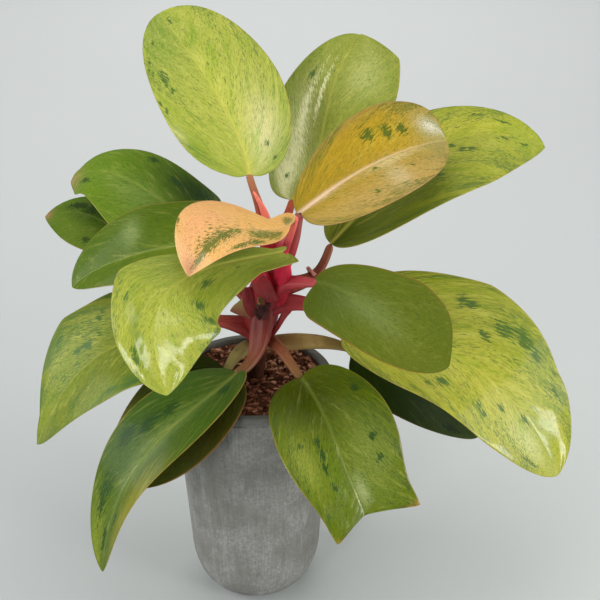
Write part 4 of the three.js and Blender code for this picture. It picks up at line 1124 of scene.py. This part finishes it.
# %% Forms of the crown
DUSKY, DEEP_RED, SHADOW = (150, 46, 52), (124, 24, 36), (48, 10, 16)
CROWN = {
    "front_sheath": dict(route=[(5, -9, 273), (9, -12, 269), (13, -13, 263), (17, -11, 256)],
                         widths=(6, 7, 6, 4), flatness=0.5,
                         stops=[DEEP_RED, DUSKY, DUSKY, (150, 34, 46)]),
    "left_sheath": dict(route=[(-2, -4, 264), (0, -7, 256), (2, -8, 248), (5, -8, 240)],
                        widths=(4, 6, 6, 4), flatness=0.5,
                        stops=[DEEP_RED, (134, 32, 40), DEEP_RED]),
    "olive_flange": dict(route=[(0, -6, 260), (-3, -7, 253), (-5, -8, 248), (-7, -9, 243)],
                         widths=(1.5, 5, 8, 9), flatness=0.12, stalk=10,
                         stops=[(156, 150, 84), (160, 152, 86), (150, 112, 72), (120, 60, 50)]),
    "right_strip": dict(route=[(28, -3, 246), (23, -4, 239), (19, -4, 231), (14, -4, 223)],
                        widths=(3, 2.4, 2, 1.5), flatness=0.7, stalk=15,
                        stops=[DUSKY, (156, 44, 50), DEEP_RED]),
    "stalk_ridge": dict(route=[(30, -7, 314), (27, -8, 309), (24.5, -8, 304), (22, -8, 299)],
                        widths=(1, 1.8, 2, 2), flatness=0.8, stalk=3,
                        stops=[(190, 96, 92), (206, 112, 108), (200, 60, 80)]),
    "node_ring": dict(route=[(43, 13.4, 266), (43.7, 13.8, 266.3), (44.4, 14.2, 266.6), (45, 14.6, 267)],
                      widths=(5.2, 5.5, 5.2), flatness=0.8, stalk=4,
                      stops=[(196, 128, 112), (196, 128, 112)]),
}
# The first two strips are a leaf scar, brown round a yellow core; the six near-black ones are painted shadow.
SCARS_AND_SHADOWS = [
    ((6, -14, 262), (9, -16, 255), 2.6, (96, 60, 26)),
    ((8, -15, 262), (7, -17, 257), 1.3, (206, 160, 64)),
    ((5, -13, 256), (8, -16, 248), 2.4, SHADOW),
    ((10, -14, 255), (8, -15, 246), 2.8, (26, 8, 8)),
    ((12, -13, 252), (9, -15, 243), 2.2, (74, 20, 26)),
    ((4, -12, 250), (9, -14, 241), 2.0, (58, 16, 20)),
    ((13, -13, 258), (11, -15, 251), 1.8, SHADOW),
    ((6, -14, 246), (12, -13, 240), 1.8, (36, 10, 12)),
]


def dry_scale(number, start, end, wide, colour):
    """A strip from start to end whose two middle points step aside, right and left in turn."""
    start, end = np.array(start, float), np.array(end, float)
    aside = (0.8, -0.8, 0.4) * np.array(1 - 2 * (number % 2))
    middle = [start + (end - start) * share + aside for share in (1 / 3, 2 / 3)]
    return dict(route=[start, *middle, end], flatness=0.35, stops=[colour, colour],
                widths=(wide * 0.5, wide, wide * 0.8, wide * 0.3))


for number, scale in enumerate(SCARS_AND_SHADOWS):
    CROWN[f"dry_scale_{number + 1}"] = dry_scale(number, *scale)
print("forms of the crown:", list(CROWN))

# %% Sheaths, scars and painted shadows of the crown
def crown_piece(number, name, route, widths, flatness, stops, stalk=None):
    """A small flattened tube on the stem, or on the stalk of the leaf with that number."""
    node = f"leaf_{stalk:02d}_stalk" if stalk else "stem"
    slot = STALK_LOOKS[stalk][0] if stalk else "stem_crimson"
    return lay_tube(name, slot, node, stops, route, widths,
                    shift=number, flatness=flatness, channel=0.15)


for number, (name, form) in enumerate(CROWN.items()):
    crown_piece(number, name, **form)
print(len(CROWN), "small pieces on the crown")

# %% [markdown]
# The pot is turned, as on a wheel: one profile from the foot up the outside, over the rim and down
# inside, carried round the axis. Blender's Spin or Screw would carry it too, but an array of
# radius and height also lets each point move by itself. Cast concrete is never quite true, so its
# wall waves by a tenth of a millimetre and has a few open pits.

# %% Pot's profile
POT_HEIGHT, RIM_RADIUS, RIM_BAND, RIM_ROUNDING, RIM_GROOVE = 188, 60, 6, 1.5, 1
KNEE_HEIGHT, KNEE_RADIUS, FOOT_RADIUS, WALL, FLOOR = 42, 51.5, 29, 6, 8
FOOT_POINTS, KNEE_POINTS, WALL_POINTS = 8, 34, 112


def pot_radius(height):
    """Outer radius: a quarter ellipse up to the knee, then an even taper out to the rim."""
    drop = np.clip(1 - height / KNEE_HEIGHT, 0, 1)
    below = FOOT_RADIUS + (KNEE_RADIUS - FOOT_RADIUS) * np.sqrt(1 - drop ** 2)
    rise = (height - KNEE_HEIGHT) / (POT_HEIGHT - KNEE_HEIGHT)
    return np.where(height < KNEE_HEIGHT, below, KNEE_RADIUS + (RIM_RADIUS - KNEE_RADIUS) * rise)


def arc(centre, radius, start, end, count):
    """Points on a circle between two angles in degrees."""
    angle = np.radians(np.linspace(start, end, count))
    return np.stack([centre[0] + radius * np.cos(angle), centre[1] + radius * np.sin(angle)], axis=-1)


def pot_profile():
    """Radius and height from the foot's middle to the floor's middle, about a millimetre apart."""
    band, corner = POT_HEIGHT - RIM_BAND, POT_HEIGHT - RIM_ROUNDING
    foot = np.stack([np.linspace(2, FOOT_RADIUS - 1, FOOT_POINTS), np.zeros(FOOT_POINTS)], axis=-1)
    knee = KNEE_HEIGHT * (1 - np.cos(np.linspace(0.03, 0.5, KNEE_POINTS) * np.pi))
    outside = np.concatenate([knee, np.linspace(KNEE_HEIGHT + 1.2, band - 2.2, WALL_POINTS)])
    outside = np.stack([pot_radius(outside), outside], axis=-1)
    groove = arc((float(pot_radius(band)) - 0.1, band - 0.9), RIM_GROOVE, 250, 110, 9)
    step = [(RIM_RADIUS - 0.35, band + 0.1), (RIM_RADIUS, band + 0.5), (RIM_RADIUS, POT_HEIGHT - 3)]
    top = arc((RIM_RADIUS - RIM_ROUNDING, corner), RIM_ROUNDING, 0, 90, 7)
    lip = arc((RIM_RADIUS - WALL + RIM_ROUNDING, corner), RIM_ROUNDING, 90, 180, 7)
    inner = np.linspace(POT_HEIGHT - 3, FLOOR, 22)
    inner = np.stack([np.minimum(pot_radius(inner) - WALL, RIM_RADIUS - WALL), inner], axis=-1)
    return np.concatenate([foot, outside, groove, step, top, lip, inner])


print("pot profile of", len(pot_profile()), "points")

# %% Pot's waves and pits
PITS, PIT_RADIUS, INSET = 46, 56, 0.15
OPEN_PITS = [(-98, 131, 1.5, 1.3), (-86, 35, 1.6, 1.2), (-101, 53, 1.2, 1.0)]


def pot_surface(sides=400):
    """The profile carried round Z; waves and pits move the outside in along its radius.

    The waves are two sines of turn and height. A pit is a bell of the distance on the wall, and
    its turn, height, size and depth are drawn by chance, but the first ones are given (in degrees
    and mm). The inset keeps the waves within the pot's true radius."""
    profile = pot_profile()
    turn = np.arange(sides) / sides * 2 * np.pi
    radius = profile[:, :1] * np.ones(sides)
    height = profile[:, 1:] * np.ones(sides)
    outside = np.arange(len(profile)) < FOOT_POINTS + KNEE_POINTS + WALL_POINTS
    wave = 0.1 * np.sin(3 * turn + height / 23) + 0.07 * np.sin(7 * turn - height / 9 + 2)
    draw = np.random.default_rng(4)
    for number in range(PITS):
        pit_turn, pit_height = draw.uniform(0, 2 * np.pi), draw.uniform(6, 178)
        pit_size, pit_depth = draw.uniform(0.7, 1.5), draw.uniform(0.3, 0.8)
        if number < len(OPEN_PITS):
            pit_turn, pit_height, pit_size, pit_depth = OPEN_PITS[number]
            pit_turn = math.radians(pit_turn)
        aside = np.angle(np.exp(1j * (turn - pit_turn))) * PIT_RADIUS
        apart = aside ** 2 + (height - pit_height) ** 2
        wave = wave - pit_depth * np.exp(-apart / pit_size ** 2)
    radius = radius + (wave - INSET) * outside[:, None] * (height > 1)
    points = np.stack([radius * np.cos(turn), radius * np.sin(turn), height], axis=-1).reshape(-1, 3)
    return np.concatenate([points, [(0, 0, 0), (0, 0, FLOOR)]]), ring_faces(len(profile), sides)


print("pits in the wall:", PITS)

# %% [markdown]
# Concrete is several greys at once. Broad clouds come from its mixing, a fine grain from its sand,
# upright run marks from its mould, and tiny dark pits from air. Each is one noise at its own size,
# on the pot's own coordinates, so the pattern runs through the wall and has no seam.

# %% Concrete
RIM_SHADE = (0.1805, 0.1835)


def concrete():
    """Mottled grey: clouds, fine grain, upright run marks, dark pits and a darker rim."""
    material, tree, shader = new_material("mottled_concrete", 0.8, 0.3)
    where = own_place(tree)
    clouds = noise(tree, where, 28.0, 5.0, 0.6)
    grain = noise(tree, where, 420.0, 4.0, 0.7)
    runs = noise(tree, stretch(tree, where, (90, 90, 7)), 1.0, 3.0, 0.6)
    brushed = noise(tree, stretch(tree, where, (700, 700, 30)), 1.0, 2.0, 0.6)
    colour = tinge(tree, rgba(118, 117, 112), rgba(146, 146, 142), clouds, 0.35, 0.65)
    colour = tinge(tree, colour, rgba(106, 104, 98), grain, 0.35, 0.65, 0.6)
    colour = tinge(tree, colour, rgba(184, 185, 182), runs, 0.5, 0.75, 0.25)
    colour = tinge(tree, colour, rgba(84, 83, 78), brushed, 0.4, 0.7, 0.28)
    pits = math_node(tree, "SUBTRACT", 1.0, between(tree, cells(tree, where, 230.0), 0.08, 0.2))
    pits = times(tree, pits, between(tree, noise(tree, where, 120.0, 2.0), 0.55, 0.62))
    colour = mix(tree, times(tree, pits, 0.75), colour, rgba(70, 68, 64))
    rim = between(tree, parts(tree, where)["Z"], *RIM_SHADE)
    colour = mix(tree, times(tree, rim, 0.7), colour, rgba(92, 92, 86))
    tree.links.new(colour, shader.inputs["Base Color"])
    relief = math_node(tree, "SUBTRACT", times(tree, grain, 0.6), pits)
    tree.links.new(bump(tree, relief, 0.0004, 0.6), shader.inputs["Normal"])
    return material


points, faces = pot_surface()
make_piece("concrete_pot", points, faces, [concrete()], ["pot"])
print("pot faces:", len(faces))

# %% [markdown]
# The soil is a bed of coir and bark: a bumpy surface strewn with flat chips. A particle system
# could strew them, but it would hand over copies of one chip. Here 1500 chips are drawn at once as
# arrays, each ragged and turned in its own way, and all of them together are one mesh.

# %% Soil bed
SOIL_TOP, SOIL_BUMP, SOIL_RADIUS, SOIL_BOTTOM = 184, 1.6, 53.4, 60


def soil_height(x, y):
    """Two crossing waves of lumps that fade out at the pot's wall."""
    lumps = np.sin(0.31 * x + 1.1) * np.cos(0.27 * y - 0.4) + 0.5 * np.sin(0.13 * x - 0.57 * y)
    return SOIL_TOP + SOIL_BUMP * lumps * np.clip((RIM_RADIUS - WALL - np.hypot(x, y)) / 8, 0, 1)


def soil_bed(rings=44, sides=120):
    """A disc of the soil's surface with crumbs on it, closed by a wall and a floor below."""
    radius = np.linspace(SOIL_RADIUS, 1.0, rings)[:, None]
    turn = np.arange(sides) / sides * 2 * np.pi
    x, y = radius * np.cos(turn), radius * np.sin(turn)
    crumbs = 0.5 * np.sin(1.9 * x + 0.7 * y) * np.sin(1.6 * y - 0.5 * x)
    crumbs = crumbs + 0.3 * np.sin(3.7 * x) * np.sin(3.3 * y + 1)
    top = np.stack([x, y, soil_height(x, y) + crumbs], axis=-1)
    low = np.stack([x[0] * 0.9, y[0] * 0.9, np.full(sides, float(SOIL_BOTTOM))], axis=-1)
    ends = [(0, 0, SOIL_BOTTOM), (0, 0, float(soil_height(0, 0)))]
    return np.concatenate([low, top.reshape(-1, 3), ends]), ring_faces(rings + 1, sides)


print("soil's middle is at", round(float(soil_height(0, 0)), 1), "mm")

# %% Bark chips
CHIPS, CHIP_CORNERS, CHIP_SPREAD, CHIP_LIMIT = 1500, 6, 50.5, 53.2


def turn_about(points, angle, axis):
    """Each chip's points turned about X, Y or Z by its own angle."""
    first, second = [(1, 2), (2, 0), (0, 1)][axis]
    cos, sin = np.cos(angle)[:, None], np.sin(angle)[:, None]
    turned = points.copy()
    turned[..., first] = points[..., first] * cos - points[..., second] * sin
    turned[..., second] = points[..., first] * sin + points[..., second] * cos
    return turned


def chip_bodies(draw):
    """Flat chips about the origin: a ragged six-sided outline pressed out to a thickness."""
    turn = np.arange(CHIP_CORNERS) / CHIP_CORNERS * 2 * np.pi
    size = draw.uniform(0.7, 3.0, CHIPS) * draw.uniform(0.4, 1, CHIPS)
    outline = draw.uniform(0.65, 1.1, (CHIPS, CHIP_CORNERS))
    long = draw.uniform(1.0, 2.2, CHIPS)[:, None]
    flat = np.stack([outline * np.cos(turn) * long, outline * np.sin(turn)], axis=-1)
    flat = flat * size[:, None, None]
    thick = size * draw.uniform(0.12, 0.35, CHIPS)
    thick = np.broadcast_to(thick[:, None, None], (CHIPS, CHIP_CORNERS, 1))
    upper = np.concatenate([flat * 0.86, thick], axis=-1)
    lower = np.concatenate([flat, -thick], axis=-1)
    return np.concatenate([lower, upper], axis=1)


def bark_chips():
    """Chips turned by chance, laid evenly over the soil and kept inside the wall, a tone for each."""
    draw = np.random.default_rng(11)
    body = chip_bodies(draw)
    spin = draw.uniform(0, 6.28, CHIPS)
    tilt = draw.normal(0, 0.35, CHIPS)
    roll = draw.normal(0, 0.35, CHIPS)
    body = turn_about(turn_about(turn_about(body, tilt, 1), roll, 0), spin, 2)
    distance = CHIP_SPREAD * np.sqrt(draw.uniform(0, 1, CHIPS))
    way = draw.uniform(0, 2 * np.pi, CHIPS)
    x, y = distance * np.cos(way), distance * np.sin(way)
    place = np.stack([x, y, soil_height(x, y) + draw.uniform(0.1, 1.5, CHIPS)], axis=-1)
    points = body + place[:, None]
    reach = np.hypot(points[..., 0], points[..., 1])
    points[..., :2] *= np.minimum(1, CHIP_LIMIT / reach)[..., None]
    tone = (draw.uniform(-0.15, 1, CHIPS) + 0.25 * y / 50).clip(0, 1)
    return points.reshape(-1, 3), np.repeat(tone, 2 * CHIP_CORNERS)


def chip_faces():
    """A chip's six sides, its under face and its upper face, repeated for every chip."""
    side = np.arange(CHIP_CORNERS)
    after = (side + 1) % CHIP_CORNERS
    quads = np.stack([side, after, after + CHIP_CORNERS, side + CHIP_CORNERS], axis=-1).tolist()
    shape = quads + [side[::-1].tolist(), (side + CHIP_CORNERS).tolist()]
    starts = range(0, 2 * CHIP_CORNERS * CHIPS, 2 * CHIP_CORNERS)
    return [[corner + start for corner in face] for start in starts for face in shape]


print("faces of the chips:", len(chip_faces()))

# %% [markdown]
# Bark and coir are the same reddish brown, from dark and wet to pale and dry. Each chip carries
# one tone from 0 to 1, so that neighbours differ, and the bed below them is nearly the darkest.

# %% Soil
BED_TONE = 0.08


def bark():
    """Reddish brown: each chip's own tone, from dark wet bark to pale dry coir, with a fine grain."""
    material, tree, shader = new_material("bark_and_coir", 0.85, 0.25)
    grain = noise(tree, stretch(tree, own_place(tree), (700, 260, 500)), 1.0, 3.0, 0.65)
    tone = attribute(tree, "tone")
    colour = tinge(tree, rgba(84, 48, 32), rgba(160, 100, 72), tone, 0.0, 0.45)
    colour = tinge(tree, colour, rgba(214, 158, 128), tone, 0.5, 1.0)
    colour = tinge(tree, colour, rgba(60, 34, 22), grain, 0.4, 0.75, 0.5)
    tree.links.new(colour, shader.inputs["Base Color"])
    tree.links.new(bump(tree, grain, 0.0003, 0.7), shader.inputs["Normal"])
    return material


BARK = bark()
points, faces = soil_bed()
make_piece("soil_bed", points, faces, [BARK], ["soil"],
           dict(tone=np.full(len(points), BED_TONE)))
points, tone = bark_chips()
chips = make_piece("bark_chips", points, chip_faces(), [BARK], ["soil"], dict(tone=tone))
chips.data.polygons.foreach_set("use_smooth", np.zeros(len(chips.data.polygons), bool))
print("soil made with", CHIPS, "chips")

# %% [markdown]
# The floor is one pale sheet, so large that the camera sees nothing else behind the plant. A
# studio would roll out paper. Its grey is painted darker at the front left and paler at the back,
# painted shade and light set by the sheet's own coordinates. It belongs to the stage, not the plant.

# %% Floor
SHEET_REACH = 9.0


def make_floor():
    """A pale matt square on the ground, which isn't part of the plant."""
    mesh = bpy.data.meshes.new("pale_floor")
    corners = np.array([(-1, -1, 0), (1, -1, 0), (1, 1, 0), (-1, 1, 0)])
    mesh.from_pydata(corners * SHEET_REACH, [], [(0, 1, 2, 3)])
    material, tree, shader = new_material("pale_floor", 0.9, 0.2)
    where = parts(tree, own_place(tree))
    # Painted shade and light: darker towards the front left, paler towards the back.
    near = tinge(tree, rgba(162, 167, 166), rgba(187, 191, 189), where["X"], -0.35, 0.35)
    colour = tinge(tree, near, rgba(195, 198, 197), where["Y"], -0.5, 1.1)
    tree.links.new(colour, shader.inputs["Base Color"])
    mesh.materials.append(material)
    floor = bpy.data.objects.new("pale_floor", mesh)
    bpy.context.scene.collection.objects.link(floor)


make_floor()
print("floor laid")
